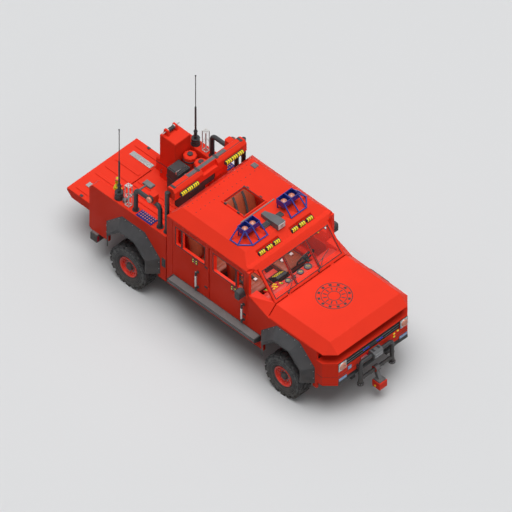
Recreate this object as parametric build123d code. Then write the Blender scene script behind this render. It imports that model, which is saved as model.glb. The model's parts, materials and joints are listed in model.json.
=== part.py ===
from build123d import *
import math
import os

# Fire rescue pickup: a lifted crew-cab truck with an open load bed, in millimetres.
# +X is forward, +Y is the left side and +Z is up. The origin is on the ground, in the
# middle of the overall length. A station is a distance behind the front fascia.

# Overall reach
HOOK_REACH = 260.0        # hook block ahead of the fascia

# Body widths
HALF_WIDTH = 1045.0       # vertical body sides
BEVEL = 195.0             # 45 degree shoulder of hood and roof
TOP_HALF = HALF_WIDTH - BEVEL
PANEL = 45.0              # fender and bedside skin
DOOR_WALL = 60.0          # door and cab wall
SHEET = 40.0              # hood and roof skin
SHUT_GAP = 8.0            # gap round doors, hood and tailgate
SEAT_GAP = 0.3            # gap where a round piece seats in another

# Stations along the body
CHIN_DEPTH = 330.0        # fascia and bumper, front to back
COWL = 1530.0             # foot of the windshield
FIREWALL = COWL + 70.0
DOOR_FRONT = COWL + 510.0 # front edge of the front doors
FRONT_DOOR = 920.0
REAR_DOOR = 895.0
DOOR_SPLIT = DOOR_FRONT + FRONT_DOOR
DOOR_REAR = DOOR_SPLIT + REAR_DOOR
CAB_REAR = DOOR_REAR + 140.0
BED_FRONT = CAB_REAR + 25.0
BED_LENGTH = 1870.0
BED_REAR = BED_FRONT + BED_LENGTH
FLOOR_REAR = BED_REAR - 5.0
REAR_GAP = 24.0           # behind the hood, and ahead of the tailgate
GATE_FRONT = FLOOR_REAR + REAR_GAP
GATE_LENGTH = 721.0
TAIL_REACH = GATE_FRONT + GATE_LENGTH    # open tailgate behind the fascia
FASCIA_X = (TAIL_REACH - HOOK_REACH) / 2

# Heights
BUMPER_Z = 710.0
SILL_Z = 560.0
LEDGE_Z = 1246.0          # shelf on top of the fascia
SHOULDER_Z = 1450.0       # lower edge of the hood
DECK_Z = SHOULDER_Z + BEVEL   # hood top, belt line and bed rails
CAB_HEIGHT = 745.0        # roof over the belt line
ROOF_Z = DECK_Z + CAB_HEIGHT
ROOF_EDGE_Z = ROOF_Z - BEVEL
FLOOR_Z = 880.0           # bed floor
CAB_FLOOR_Z = 760.0
FLOOR_PLATE = 60.0
STEP_Z = 880.0            # running board tread
DOOR_BOTTOM_Z = STEP_Z + 15.0

# Wheels and axles
WHEEL_R = 435.0
TYRE_WIDTH = 280.0
RIM_R = 208.0
WHEEL_FACE = 1190.0       # outer face of the tyres
FRONT_AXLE = 1027.0
WHEELBASE = 3784.0
REAR_AXLE = FRONT_AXLE + WHEELBASE
LUG_COUNT = 18
LUG_HEIGHT = 20.0
LUG_LENGTH = 92.0
HUB_R = 75.0
SPINDLE_R = 38.0
KINGPIN_Y = WHEEL_FACE - 400.0
KINGPIN_R = 26.0
AXLE_R = 55.0
DIFF_R = 130.0

# Chassis
RAIL_IN = 380.0
RAIL_OUT = 470.0
RAIL_BOTTOM = 560.0
RAIL_TOP = 690.0

# Flares: an octagon round each arch, narrowing to an outboard lip
FLARE_OUT = 170.0
FLARE_HALF = 655.0
FLARE_FOOT_Z = SILL_Z + 93.0
FLARE_TOP_Z = SHOULDER_Z - 50.0
FLARE_SLOPE = 375.0
FLARE_TAPER = 100.0       # the slope shortens towards the lip
FLARE_WALL = 35.0
ARCH_HALF = 600.0
ARCH_TOP_Z = SHOULDER_Z - 110.0
ARCH_SLOPE = 345.0


def x_at(station):
    return FASCIA_X - station


def block(front, rear, y0, y1, z0, z1):
    """Box between two stations."""
    size = Box(rear - front, y1 - y0, z1 - z0)
    return Pos(x_at((front + rear) / 2), (y0 + y1) / 2, (z0 + z1) / 2) * size


def side_prism(outline, y0, y1):
    """Side outline of (station, z) points, carried across from y0 to y1."""
    points = [(x_at(station), z) for station, z in outline]
    face = make_face(Polyline(*points, close=True))
    return extrude(Plane.XZ.offset(-y1) * face, amount=y1 - y0)


def plan_prism(outline, z0, z1):
    """Plan outline of (station, y) points, carried up from z0 to z1."""
    points = [(x_at(station), y) for station, y in outline]
    face = make_face(Polyline(*points, close=True))
    return extrude(Plane.XY.offset(z0) * face, amount=z1 - z0)


def front_prism(outline, front, rear):
    """Front outline of (y, z) points, carried back from one station to another."""
    face = make_face(Polyline(*outline, close=True))
    return extrude(Plane.YZ.offset(x_at(rear)) * face, amount=rear - front)


def point(station, y, z):
    return Vector(x_at(station), y, z)


def rod(start, end, radius):
    """Round bar between two points."""
    run = end - start
    plane = Plane(origin=start, z_dir=run)
    return extrude(plane * Circle(radius), amount=run.length)


def across(station, half, z, radius):
    """Round bar across the body."""
    return rod(point(station, -half, z), point(station, half, z), radius)


def bent_tube(points, radius, bend):
    """Round tube along a path whose corners share one bend radius."""
    path = FilletPolyline(*points, radius=bend)
    start = Plane(origin=path @ 0, z_dir=path % 0)
    return sweep(start * Circle(radius), path=path)


def polyhedron(points, faces):
    """Solid from corner points and the corner numbers of its flat faces."""
    sides = [Face(Wire.make_polygon([points[i] for i in face])) for face in faces]
    return Solid(Shell(sides))


def both_sides(shape):
    """A left-hand piece and its mirror image on the right."""
    return [shape, mirror(shape, about=Plane.XZ)]


def on_side(shape, side):
    """The piece itself on the left (side 1), or its mirror image on the right (side -1)."""
    if side > 0:
        return shape
    return mirror(shape, about=Plane.XZ)


def shoulder_section(half, z0, z1, bevel):
    """Front outline of a cover with a 45 degree shoulder on each side."""
    right = [(half, z0), (half, z1 - bevel), (half - bevel, z1)]
    return right + [(-y, z) for y, z in reversed(right)]


def cover(section, profile):
    """Solid that fills both a front outline of (y, z) and a side outline of (station, z)."""
    stations = [station for station, z in profile]
    reach = max(y for y, z in section) + 1
    return front_prism(section, min(stations), max(stations)) & side_prism(profile, -reach, reach)


def arch_outline(axle, half, foot_z, top_z, slope):
    """Octagonal arch round an axle, from foot to foot."""
    return [(axle - half, foot_z), (axle - half, top_z - slope), (axle - half + slope, top_z),
            (axle + half - slope, top_z), (axle + half, top_z - slope), (axle + half, foot_z)]


def arch_cut(axle, y0, y1):
    outline = arch_outline(axle, ARCH_HALF, SILL_Z - 1, ARCH_TOP_Z, ARCH_SLOPE)
    return side_prism(outline, y0, y1)


# Hinges: barrels in line with each axis
HINGE_R = 15.0
HINGE_LEAF = 50.0
DOOR_HINGES = (DOOR_BOTTOM_Z + 185.0, DOOR_BOTTOM_Z + 665.0)
SPLIT_GAP = 24.0          # between front and rear doors
DOOR_AXES = (DOOR_FRONT, DOOR_SPLIT + SPLIT_GAP / 2)
BARREL_R = 9.0
BARREL = 40.0
BARREL_Y = 520.0


def door_barrel(station, z0, z1, radius):
    """Upright hinge barrel on the outer edge of a door."""
    return Pos(x_at(station), HALF_WIDTH, (z0 + z1) / 2) * Cylinder(radius, z1 - z0)


def level_barrel(axis, anchor, y0, y1, z):
    """Hinge barrel across the body, with the tang that carries it."""
    tang = block(min(axis, anchor), max(axis, anchor), y0, y1, z - BARREL_R, z)
    return rod(point(axis, y0, z), point(axis, y1, z), BARREL_R).fuse(tang)


NODES = {}


def keep(name, *shapes):
    """Store the separate solids of one node."""
    solids = []
    for shape in shapes:
        solids += list(shape.solids())
    NODES[name] = solids[0] if len(solids) == 1 else Compound(children=solids)


# Chassis
CROSSMEMBERS = [90.0, FIREWALL - 40, DOOR_FRONT + 210, DOOR_SPLIT - 170, CAB_REAR - 95, BED_FRONT + 280,
                BED_FRONT + 1280, BED_REAR - 130]
CROSS_DEPTH = 80.0
CROSS_INSET = 25.0        # crossmembers below and above the rail faces


def chassis_frame():
    parts = []
    for side in (1, -1):
        parts.append(on_side(block(PANEL + 5, BED_REAR - 30, RAIL_IN, RAIL_OUT, RAIL_BOTTOM, RAIL_TOP), side))
    for station in CROSSMEMBERS:
        parts.append(block(station, station + CROSS_DEPTH, -RAIL_IN, RAIL_IN,
                           RAIL_BOTTOM + CROSS_INSET, RAIL_TOP - CROSS_INSET))
    return parts[0].fuse(*parts[1:])


keep("chassis_frame", chassis_frame())

# Engine: one plain block with its covers and its two mounting arms
ENGINE_FRONT = 480.0
ENGINE_REAR = 1330.0
ENGINE_HALF = 230.0
ENGINE_Z = (630.0, 1180.0)


def engine_block():
    low, high = ENGINE_Z
    body = block(ENGINE_FRONT, ENGINE_REAR, -ENGINE_HALF, ENGINE_HALF, low, high)
    for side in (1, -1):
        head = block(ENGINE_FRONT + 60, ENGINE_REAR - 60, 60, ENGINE_HALF + 40, high - 120, high + 60)
        arm = block(ENGINE_FRONT + 340, ENGINE_FRONT + 440, ENGINE_HALF, RAIL_IN, low, low + 50)
        body += on_side(head, side)
        body += on_side(arm, side)
    body += rod(point(ENGINE_FRONT - 60, 0, high - 150), point(ENGINE_FRONT, 0, high - 150), 190)
    return body


keep("engine_block", engine_block())

# Driveline: gearbox, transfer case and two propeller shafts
SHAFT_Z = 455.0
SHAFT_R = 36.0
CASE_FRONT = CROSSMEMBERS[2] + 90.0
CASE_REAR = CASE_FRONT + 360.0
SNOUT = 290.0             # differential nose ahead of or behind its axle


def driveline():
    gearbox_z = SHAFT_Z + 50
    bell = block(ENGINE_REAR, CROSSMEMBERS[1], -130, 130, gearbox_z, RAIL_TOP + 5)
    case = block(CASE_FRONT, CASE_REAR, -160, 160, SHAFT_Z - 70, RAIL_TOP - 30)
    tunnel = block(CROSSMEMBERS[1], CASE_FRONT, -120, 120, gearbox_z, RAIL_BOTTOM + CROSS_INSET)
    front_shaft = rod(point(FRONT_AXLE + SNOUT, 0, SHAFT_Z), point(CASE_FRONT, 0, SHAFT_Z), SHAFT_R)
    rear_shaft = rod(point(CASE_REAR, 0, SHAFT_Z), point(REAR_AXLE - SNOUT, 0, SHAFT_Z), SHAFT_R)
    return bell.fuse(tunnel, case, front_shaft, rear_shaft)


keep("driveline", driveline())

# Fuel tank on the outside of the right frame rail
TANK_SPAN = (DOOR_SPLIT - 200.0, DOOR_SPLIT + 800.0)


def fuel_tank():
    tank = block(*TANK_SPAN, -RAIL_OUT - 300, -RAIL_OUT, RAIL_BOTTOM - 60, RAIL_TOP)
    return chamfer(tank.edges().filter_by(Axis.X), 40)


keep("fuel_tank", fuel_tank())


# Hubs
DRUM_R = 150.0
DRUM_Y = (WHEEL_FACE - 310.0, WHEEL_FACE - 250.0)
RIM_DISC_Y = WHEEL_FACE - 110.0       # inner face of the wheel disc
RIM_DISC = 30.0

# Axles: a tube with its differential, and a fork for each steering knuckle in front
FORK_HALF = 105.0         # fork ears above and below the axle
EAR = 28.0
EAR_SIZE = 90.0


def differential(axle, nose):
    body = Pos(x_at(axle), 0, WHEEL_R) * Sphere(DIFF_R)
    tip = point(axle + nose, 0, SHAFT_Z)
    return body.fuse(rod(point(axle, 0, SHAFT_Z), tip, 70))


def front_axle():
    fork_y = KINGPIN_Y - EAR_SIZE / 2
    tube = rod(point(FRONT_AXLE, -fork_y - 10, WHEEL_R), point(FRONT_AXLE, fork_y + 10, WHEEL_R), AXLE_R)
    axle = tube.fuse(differential(FRONT_AXLE, SNOUT))
    half = EAR_SIZE / 2
    for side in (1, -1):
        wall = block(FRONT_AXLE - half, FRONT_AXLE + half, fork_y - 30, fork_y,
                     WHEEL_R - FORK_HALF - EAR, WHEEL_R + FORK_HALF + EAR)
        axle += on_side(wall, side)
        for z0 in (WHEEL_R - FORK_HALF - EAR, WHEEL_R + FORK_HALF):
            ear = block(FRONT_AXLE - half, FRONT_AXLE + half, fork_y, KINGPIN_Y + half, z0, z0 + EAR)
            axle += on_side(ear, side)
    return axle.cut(*[tube_end(side) for side in (1, -1)])


def tube_end(side):
    """Room in the fork for the knuckle's barrel."""
    fork_y = KINGPIN_Y - EAR_SIZE / 2
    room = block(FRONT_AXLE - EAR_SIZE, FRONT_AXLE + EAR_SIZE, fork_y, KINGPIN_Y + EAR_SIZE,
                 WHEEL_R - FORK_HALF, WHEEL_R + FORK_HALF)
    return on_side(room, side)


def rear_axle():
    hub = RIM_DISC_Y + RIM_DISC
    drum_in, drum_out = DRUM_Y
    tube = rod(point(REAR_AXLE, -drum_in, WHEEL_R), point(REAR_AXLE, drum_in, WHEEL_R), AXLE_R)
    spindle = rod(point(REAR_AXLE, -hub, WHEEL_R), point(REAR_AXLE, hub, WHEEL_R), SPINDLE_R)
    drum = rod(point(REAR_AXLE, drum_in, WHEEL_R), point(REAR_AXLE, drum_out, WHEEL_R), DRUM_R)
    return tube.fuse(spindle, differential(REAR_AXLE, -SNOUT), *both_sides(drum))


keep("front_axle", front_axle())
keep("rear_axle", rear_axle())

# Leaf springs: a shallow arc from hanger to hanger, clamped on each axle tube
SPRING_HALF = 620.0
SPRING_Y = (RAIL_IN + 15, RAIL_OUT - 15)
SPRING_DEPTH = 45.0
SPRING_RISE = RAIL_BOTTOM - (WHEEL_R + AXLE_R) - SPRING_DEPTH


def leaf_spring(axle):
    seat = WHEEL_R + AXLE_R
    x = x_at(axle)
    eye = seat + SPRING_RISE
    low = ThreePointArc((x - SPRING_HALF, eye), (x, seat), (x + SPRING_HALF, eye))
    top = eye + SPRING_DEPTH
    high = ThreePointArc((x - SPRING_HALF, top), (x, seat + SPRING_DEPTH), (x + SPRING_HALF, top))
    ends = [Line(low @ 0, high @ 0), Line(low @ 1, high @ 1)]
    face = make_face([low, high] + ends)
    y0, y1 = SPRING_Y
    return extrude(Plane.XZ.offset(-y1) * face, amount=y1 - y0)


keep("leaf_springs", *both_sides(leaf_spring(FRONT_AXLE)), *both_sides(leaf_spring(REAR_AXLE)))

# Knuckles: a barrel between the fork ears, a spindle, a brake drum and a steering arm


def knuckle():
    half = FORK_HALF - SEAT_GAP
    barrel = Pos(x_at(FRONT_AXLE), KINGPIN_Y, WHEEL_R) * Cylinder(KINGPIN_R + 12, 2 * half)
    hub = RIM_DISC_Y + RIM_DISC
    spindle = rod(point(FRONT_AXLE, KINGPIN_Y, WHEEL_R), point(FRONT_AXLE, hub, WHEEL_R), SPINDLE_R)
    drum = rod(point(FRONT_AXLE, DRUM_Y[0], WHEEL_R), point(FRONT_AXLE, DRUM_Y[1], WHEEL_R), DRUM_R)
    arm = block(FRONT_AXLE, FRONT_AXLE + 190, KINGPIN_Y + 25, KINGPIN_Y + 60, WHEEL_R - 60, WHEEL_R - 25)
    boss = rod(point(FRONT_AXLE, KINGPIN_Y, WHEEL_R), point(FRONT_AXLE, DRUM_Y[0], WHEEL_R), 62)
    return barrel.fuse(spindle, drum, arm, boss)


keep("knuckle_left", knuckle())
keep("knuckle_right", mirror(knuckle(), about=Plane.XZ))


# Wheels: a lugged tyre on a dished rim, both turned about the axle
TYRE_BEAD_HALF = 105.0
CARCASS_R = WHEEL_R - LUG_HEIGHT
SIDEWALL_R = 330.0
SHOULDER_LUG = 78.0       # lug width on each shoulder
CENTRE_LUG = 76.0         # lug width on the crown
CROWN_DROP = 2.0          # crown lugs stop short of the shoulder lugs
RIM_HOLES = 8
RIM_HOLE_R = 19.0
RIM_HOLE_PCD = 300.0
RIM_LIP = 14.0


def around_axle(profile, axle, y_mid):
    """Revolve a closed (y, radius) outline about the axle line."""
    turned = make_face(Polyline(*profile, close=True))
    solid = revolve(Plane.YZ * turned, axis=Axis.Y)
    return Pos(x_at(axle), y_mid, WHEEL_R) * solid


def tyre(axle):
    half = TYRE_WIDTH / 2
    bead = RIM_R + SEAT_GAP
    outer = [(half - 40, CARCASS_R), (half - 12, CARCASS_R - 30), (half, SIDEWALL_R), (half, bead + 45),
             (TYRE_BEAD_HALF, bead)]
    profile = [(-y, radius) for y, radius in reversed(outer)] + outer
    y_mid = WHEEL_FACE - half
    body = around_axle(profile, axle, y_mid)
    hub = Pos(x_at(axle), y_mid, WHEEL_R)
    depth = LUG_HEIGHT + 18
    pitch = 360 / LUG_COUNT
    shoulder_y = half - SHOULDER_LUG / 2 - 6
    rows = [  # offset across the tread, lug width, share of a pitch, tip radius
        (-shoulder_y, SHOULDER_LUG, 0.0, WHEEL_R), (0.0, CENTRE_LUG, 0.5, WHEEL_R - CROWN_DROP),
        (shoulder_y, SHOULDER_LUG, 0.0, WHEEL_R)]
    lugs = []
    for offset, width, phase, tip in rows:
        lug = Pos(0, offset, depth / 2 - tip) * Box(LUG_LENGTH, width, depth)
        for i in range(LUG_COUNT):
            lugs.append(hub * Rot(0, pitch * (i + phase), 0) * lug)
    return body.fuse(*lugs)


def rim(axle):
    half = TYRE_BEAD_HALF
    y_mid = WHEEL_FACE - TYRE_WIDTH / 2
    disc = RIM_DISC_Y - y_mid
    well = RIM_R - 28
    face = disc + RIM_DISC
    bore = SPINDLE_R + SEAT_GAP
    lip = half + RIM_LIP
    profile = [(-lip, RIM_R), (lip, RIM_R), (lip, RIM_R - 12), (half, well), (face + 22, well),
               (face, HUB_R + 45), (face + 10, HUB_R + 10), (face + 10, bore), (disc, bore),
               (disc, HUB_R + 30), (disc + 20, well - 22), (-half, well - 22), (-lip, RIM_R - 16)]
    body = around_axle(profile, axle, y_mid)
    hub = Pos(x_at(axle), RIM_DISC_Y, WHEEL_R)
    for i in range(RIM_HOLES):
        angle = math.radians(360 / RIM_HOLES * i)
        spot = Pos(RIM_HOLE_PCD / 2 * math.cos(angle), 0, RIM_HOLE_PCD / 2 * math.sin(angle))
        body -= hub * spot * Rot(90, 0, 0) * Cylinder(RIM_HOLE_R, 200)
    return body


WHEELS = [  # name, axle station, side
    ("front_left", FRONT_AXLE, 1), ("front_right", FRONT_AXLE, -1),
    ("rear_left", REAR_AXLE, 1), ("rear_right", REAR_AXLE, -1)]
for corner, axle, side in WHEELS:
    keep("tyre_" + corner, on_side(tyre(axle), side))
    keep("rim_" + corner, on_side(rim(axle), side))


# Front end
FASCIA_PLAN = [(0, TOP_HALF), (BEVEL, HALF_WIDTH), (CHIN_DEPTH, HALF_WIDTH)]
GRILLE_Z = (LEDGE_Z - 192.0, LEDGE_Z - 14.0)
LAMP_Y = TOP_HALF - 98.0
LAMP_R = 74.0
BEZEL = 184.0
GRILLE_HALF = LAMP_Y - BEZEL / 2 - 5
INTAKE_HALF = 640.0
INTAKE_Z = (BUMPER_Z + 25.0, BUMPER_Z + 105.0)
FASCIA_WALL = 50.0


def fascia_plan(inset):
    right = [(station + inset, y - inset) for station, y in FASCIA_PLAN[:2]]
    right.append((CHIN_DEPTH, HALF_WIDTH - inset))
    return right + [(station, -y) for station, y in reversed(right)]


def front_fascia():
    shell = plan_prism(fascia_plan(0), BUMPER_Z, LEDGE_Z)
    shell -= plan_prism(fascia_plan(FASCIA_WALL), BUMPER_Z, LEDGE_Z - FASCIA_WALL / 2)
    shell -= block(-1, FASCIA_WALL + 1, -GRILLE_HALF, GRILLE_HALF, *GRILLE_Z)
    shell -= block(-1, FASCIA_WALL + 1, -INTAKE_HALF, INTAKE_HALF, *INTAKE_Z)
    for side in (1, -1):
        seat = block(-1, FASCIA_WALL + 1, LAMP_Y - BEZEL / 2, LAMP_Y + BEZEL / 2,
                     GRILLE_Z[1] - BEZEL, GRILLE_Z[1])
        shell -= on_side(seat, side)
        shell += on_side(block(FASCIA_WALL, CHIN_DEPTH, RAIL_IN, RAIL_OUT, RAIL_TOP, BUMPER_Z + 25), side)
    shell += block(FASCIA_WALL, CHIN_DEPTH, -RAIL_OUT, RAIL_OUT, BUMPER_Z, BUMPER_Z + 25)
    return shell


keep("front_fascia", front_fascia())

# Grille of level bars, with the square lamp bezels at its ends
GRILLE_BARS = 5
GRILLE_RIBS = 4
GRILLE_FRAME = 16.0


def grille():
    low, high = GRILLE_Z
    panel = block(8, 38, -GRILLE_HALF, GRILLE_HALF, low, high)
    inner = GRILLE_HALF - GRILLE_FRAME
    panel -= block(7, 39, -inner, inner, low + GRILLE_FRAME, high - GRILLE_FRAME)
    pitch = (high - low) / (GRILLE_BARS + 1)
    for i in range(GRILLE_BARS):
        z = low + pitch * (i + 1)
        panel += block(2, 30, -GRILLE_HALF + 1, GRILLE_HALF - 1, z - 7, z + 7)
    rib_pitch = 2 * GRILLE_HALF / (GRILLE_RIBS + 1)
    for i in range(GRILLE_RIBS):
        y = rib_pitch * (i + 1) - GRILLE_HALF
        panel += block(14, 36, y - 6, y + 6, low + 1, high - 1)
    return panel


def lamp_bezel():
    z_mid = GRILLE_Z[1] - BEZEL / 2
    frame = block(-12, 40, LAMP_Y - BEZEL / 2, LAMP_Y + BEZEL / 2, z_mid - BEZEL / 2, z_mid + BEZEL / 2)
    return frame - rod(point(-13, LAMP_Y, z_mid), point(20, LAMP_Y, z_mid), LAMP_R + SEAT_GAP)


keep("grille", grille(), *both_sides(lamp_bezel()))

# Head lamps: a drum with a rounded lens
LENS_FRONT = -46.0
LENS_ROUND = 24.0


def head_lamp():
    z_mid = GRILLE_Z[1] - BEZEL / 2
    drum = rod(point(20 - SEAT_GAP, LAMP_Y, z_mid), point(LENS_FRONT, LAMP_Y, z_mid), LAMP_R)
    return fillet(drum.edges().sort_by(Axis.X)[-1], LENS_ROUND)


# Radiator core between the fenders, behind the grille
RADIATOR = (CHIN_DEPTH + 20.0, CHIN_DEPTH + 75.0)


def radiator():
    core = block(*RADIATOR, -520, 520, RAIL_TOP, SHOULDER_Z - 60)
    for side in (1, -1):
        core += on_side(block(RADIATOR[0] - 20, RADIATOR[1], 430, 520, RAIL_TOP, SHOULDER_Z - 60), side)
    return core


keep("radiator", radiator())

# Bull bar: two flanged posts, a top bar and a lower bar, bracketed to the bumper
BAR_R = 38.0
POST_Y = 386.0
POST_STATION = -85.0
POST_Z = (BUMPER_Z - 240.0, BUMPER_Z + 293.0)
LOW_BAR_Z = BUMPER_Z - 93.0
LOW_BAR_R = 32.3
FLANGE_R = 62.0


def bull_bar():
    low, high = POST_Z
    path = [(POST_Y, low), (POST_Y, high), (-POST_Y, high), (-POST_Y, low)]
    hoop = bent_tube([point(POST_STATION, y, z) for y, z in path], BAR_R, 60)
    hoop += across(POST_STATION, POST_Y, LOW_BAR_Z, LOW_BAR_R)
    for side in (1, -1):
        flange = rod(point(POST_STATION, POST_Y, low + 20), point(POST_STATION, POST_Y, low + 45), FLANGE_R)
        bracket = block(POST_STATION, 0, POST_Y - 14, POST_Y + 14, BUMPER_Z + 120, BUMPER_Z + 200)
        hoop += on_side(flange, side)
        hoop += on_side(bracket, side)
    return hoop


keep("bull_bar", bull_bar())

# Winch housing on the top bar, against the fascia
WINCH_HALF = 110.0


def winch():
    bar_z = POST_Z[1]
    low = bar_z - 68
    brow = bar_z + 37
    top = brow + 35
    outline = [(-150, low), (-150, brow), (-115, top), (-35, top), (0, brow), (0, low)]
    body = side_prism(outline, -WINCH_HALF, WINCH_HALF)
    return body - across(POST_STATION, WINCH_HALF + 1, bar_z, BAR_R + SEAT_GAP)


keep("winch", winch())

# Hook block: a collar on the lower bar, a shackle and a chamfered body below it
HOOK_HALF = 92.0
HOOK_Z = (LOW_BAR_Z - 422.0, LOW_BAR_Z - 202.0)
COLLAR_R = 60.0
COLLAR_HALF = 45.0
CAP_HALF = 75.0
CAP_CUT = 35.0


def hook_block():
    low, high = HOOK_Z
    rear = -HOOK_REACH + 2 * HOOK_HALF
    mid = (rear - HOOK_REACH) / 2
    body = block(-HOOK_REACH, rear, -HOOK_HALF, HOOK_HALF, low, high - 30)
    body = chamfer(body.faces().sort_by(Axis.Z)[0].edges(), 45)
    collar = across(POST_STATION, COLLAR_HALF, LOW_BAR_Z, COLLAR_R)
    collar -= across(POST_STATION, COLLAR_HALF + 1, LOW_BAR_Z, LOW_BAR_R + SEAT_GAP)
    shoulder = LOW_BAR_Z - 45
    neck = side_prism([(POST_STATION - 35, shoulder), (POST_STATION + 20, shoulder), (mid + 45, high - 40),
                       (mid - 45, high - 40)], -32, 32)
    neck -= across(POST_STATION, COLLAR_HALF + 1, LOW_BAR_Z, COLLAR_R - 5)
    cap = block(mid - CAP_HALF, mid + CAP_HALF, -CAP_HALF, CAP_HALF, high - 40, high)
    cap = chamfer(cap.edges().filter_by(Axis.Z), CAP_CUT)
    return body.fuse(cap, neck, collar)


keep("hook_block", hook_block())

# Front fenders: the skin round the arch, an apron over the wheel and the cowl corner
POST_WIDTH = 44.0         # front hinge post of the cab
FENDER_REAR = DOOR_FRONT - SHUT_GAP - POST_WIDTH
APRON_Y = RAIL_OUT + 75.0
APRON_Z = ARCH_TOP_Z + 5.0
APRON = 18.0


def cowl_corner():
    """Facet that leads from the hood's shoulder up to the belt line."""
    outer, inner = HALF_WIDTH, TOP_HALF
    low, high = SHOULDER_Z, DECK_Z
    points = [point(COWL, outer, low), point(FENDER_REAR, outer, low), point(FENDER_REAR, inner, low),
              point(COWL, inner, low), point(FENDER_REAR, outer, high), point(FENDER_REAR, inner, high),
              point(COWL, inner, high)]
    faces = [(0, 1, 2, 3), (1, 4, 5, 2), (0, 1, 4), (0, 4, 6), (6, 4, 5), (3, 2, 5, 6), (0, 3, 6)]
    return polyhedron(points, faces)


def front_fender():
    inner = HALF_WIDTH - PANEL
    skin = block(CHIN_DEPTH, FENDER_REAR, inner, HALF_WIDTH, SILL_Z, SHOULDER_Z)
    skin -= arch_cut(FRONT_AXLE, inner - 1, HALF_WIDTH + 1)
    shelf = block(CHIN_DEPTH, FIREWALL, APRON_Y, inner, APRON_Z, APRON_Z + APRON)
    wall = block(RADIATOR[1], FIREWALL, APRON_Y, APRON_Y + APRON, RAIL_TOP + 10, APRON_Z)
    return skin.fuse(shelf, wall, cowl_corner())


keep("front_fenders", *both_sides(front_fender()))


# Fender flares: an octagonal collar that narrows to an outboard lip
def flare_form(axle, inset, reach):
    """The flare's outer form, or its opening with a wall's inset, which runs past both ends."""
    faces = []
    for y in (HALF_WIDTH - reach, HALF_WIDTH + FLARE_OUT + reach):
        share = (y - HALF_WIDTH) / FLARE_OUT
        drawn_in = FLARE_OUT * share + inset
        outline = arch_outline(axle, FLARE_HALF - drawn_in, FLARE_FOOT_Z - reach, FLARE_TOP_Z - drawn_in,
                               FLARE_SLOPE - FLARE_TAPER * share)
        faces.append(Face(Wire.make_polygon([point(station, y, z) for station, z in outline])))
    return loft(faces, ruled=True)


def flare(axle):
    return flare_form(axle, 0, 0) - flare_form(axle, FLARE_WALL, 5)


keep("fender_flares", *both_sides(flare(FRONT_AXLE)), *both_sides(flare(REAR_AXLE)))

# Hood: a hollow lid with shoulders all round and a facet on each front corner
HOOD_GAP = 5.0
HOOD_REAR = COWL - REAR_GAP
HOOD_AXIS = COWL - REAR_GAP / 2
HOOD_NOSE = 190.0


def hood_form(inset, foot_z):
    lean = inset * (math.sqrt(2) - 1)
    top_z = DECK_Z - inset
    half = TOP_HALF - lean
    drop = top_z - foot_z
    nose = HOOD_NOSE + lean
    section = [(half + drop, foot_z), (half, top_z), (-half, top_z), (-half - drop, foot_z)]
    rear = HOOD_REAR + (1 if inset else 0)
    profile = [(nose - drop, foot_z), (nose, top_z), (rear, top_z), (rear, foot_z)]
    form = cover(section, profile)
    apex = point(nose, half, top_z)
    side_foot = point(nose, half + drop, foot_z)
    nose_foot = point(nose - drop, half, foot_z)
    away = point(nose - 2 * drop, half + 2 * drop, foot_z - drop)
    crest = apex + (apex - (side_foot + nose_foot) * 0.5) * 0.1
    corners = [crest, apex + (side_foot - apex) * 1.4, apex + (nose_foot - apex) * 1.4, away]
    wedge = polyhedron(corners, [(0, 1, 2), (0, 1, 3), (1, 2, 3), (0, 2, 3)])
    for piece in both_sides(wedge):
        form -= piece
    return form


def hood():
    foot = SHOULDER_Z + HOOD_GAP
    lid = hood_form(0, foot) - hood_form(SHEET, foot - 1)
    barrel = level_barrel(HOOD_AXIS, HOOD_REAR, BARREL_Y + SEAT_GAP, BARREL_Y + BARREL, DECK_Z)
    return lid.fuse(*both_sides(barrel))


keep("hood", hood())

# Cab tub: floor, firewall and cowl in one pressing, on rubber pads over the rails
FLOOR_HALF = HALF_WIDTH - 150.0
WALL_IN = HALF_WIDTH - DOOR_WALL
PAD_STATIONS = [FIREWALL + 100, DOOR_FRONT + 460, DOOR_REAR - 95]
FIREWALL_PLATE = 40.0
COWL_PLATE = 40.0


def cab_floor():
    low = CAB_FLOOR_Z - FLOOR_PLATE
    kick = HALF_WIDTH - PANEL
    right = [(FIREWALL, kick), (FENDER_REAR, kick), (FENDER_REAR, FLOOR_HALF),
             (CAB_REAR - DOOR_WALL, FLOOR_HALF)]
    plate = plan_prism(right + [(station, -y) for station, y in reversed(right)], low, CAB_FLOOR_Z)
    back = FIREWALL + FIREWALL_PLATE
    lower = block(FIREWALL, back, -kick, kick, low, SHOULDER_Z)
    upper = block(FIREWALL, back, -TOP_HALF, TOP_HALF, SHOULDER_Z, DECK_Z)
    cowl = block(COWL, back + 60, -TOP_HALF, TOP_HALF, DECK_Z - COWL_PLATE, DECK_Z)
    pads = []
    for station in PAD_STATIONS:
        pads += both_sides(block(station, station + 90, RAIL_IN + 10, RAIL_OUT - 10, RAIL_TOP, low))
    barrels = both_sides(level_barrel(HOOD_AXIS, COWL, BARREL_Y - BARREL, BARREL_Y, DECK_Z))
    return plate.fuse(lower, upper, cowl, *pads, *barrels)


keep("cab_floor", cab_floor())

# Cab sides: sill, hinge post, centre post, rear post and roof rail round two door openings
SILL_TOP = DOOR_BOTTOM_Z - SHUT_GAP
ROOF_BASE_Z = ROOF_EDGE_Z - 15.0
DOOR_TOP_Z = ROOF_EDGE_Z - 70.0
POST_IN = HALF_WIDTH - 130.0  # inner face of the centre post
CENTRE_POST = 120.0


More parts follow.
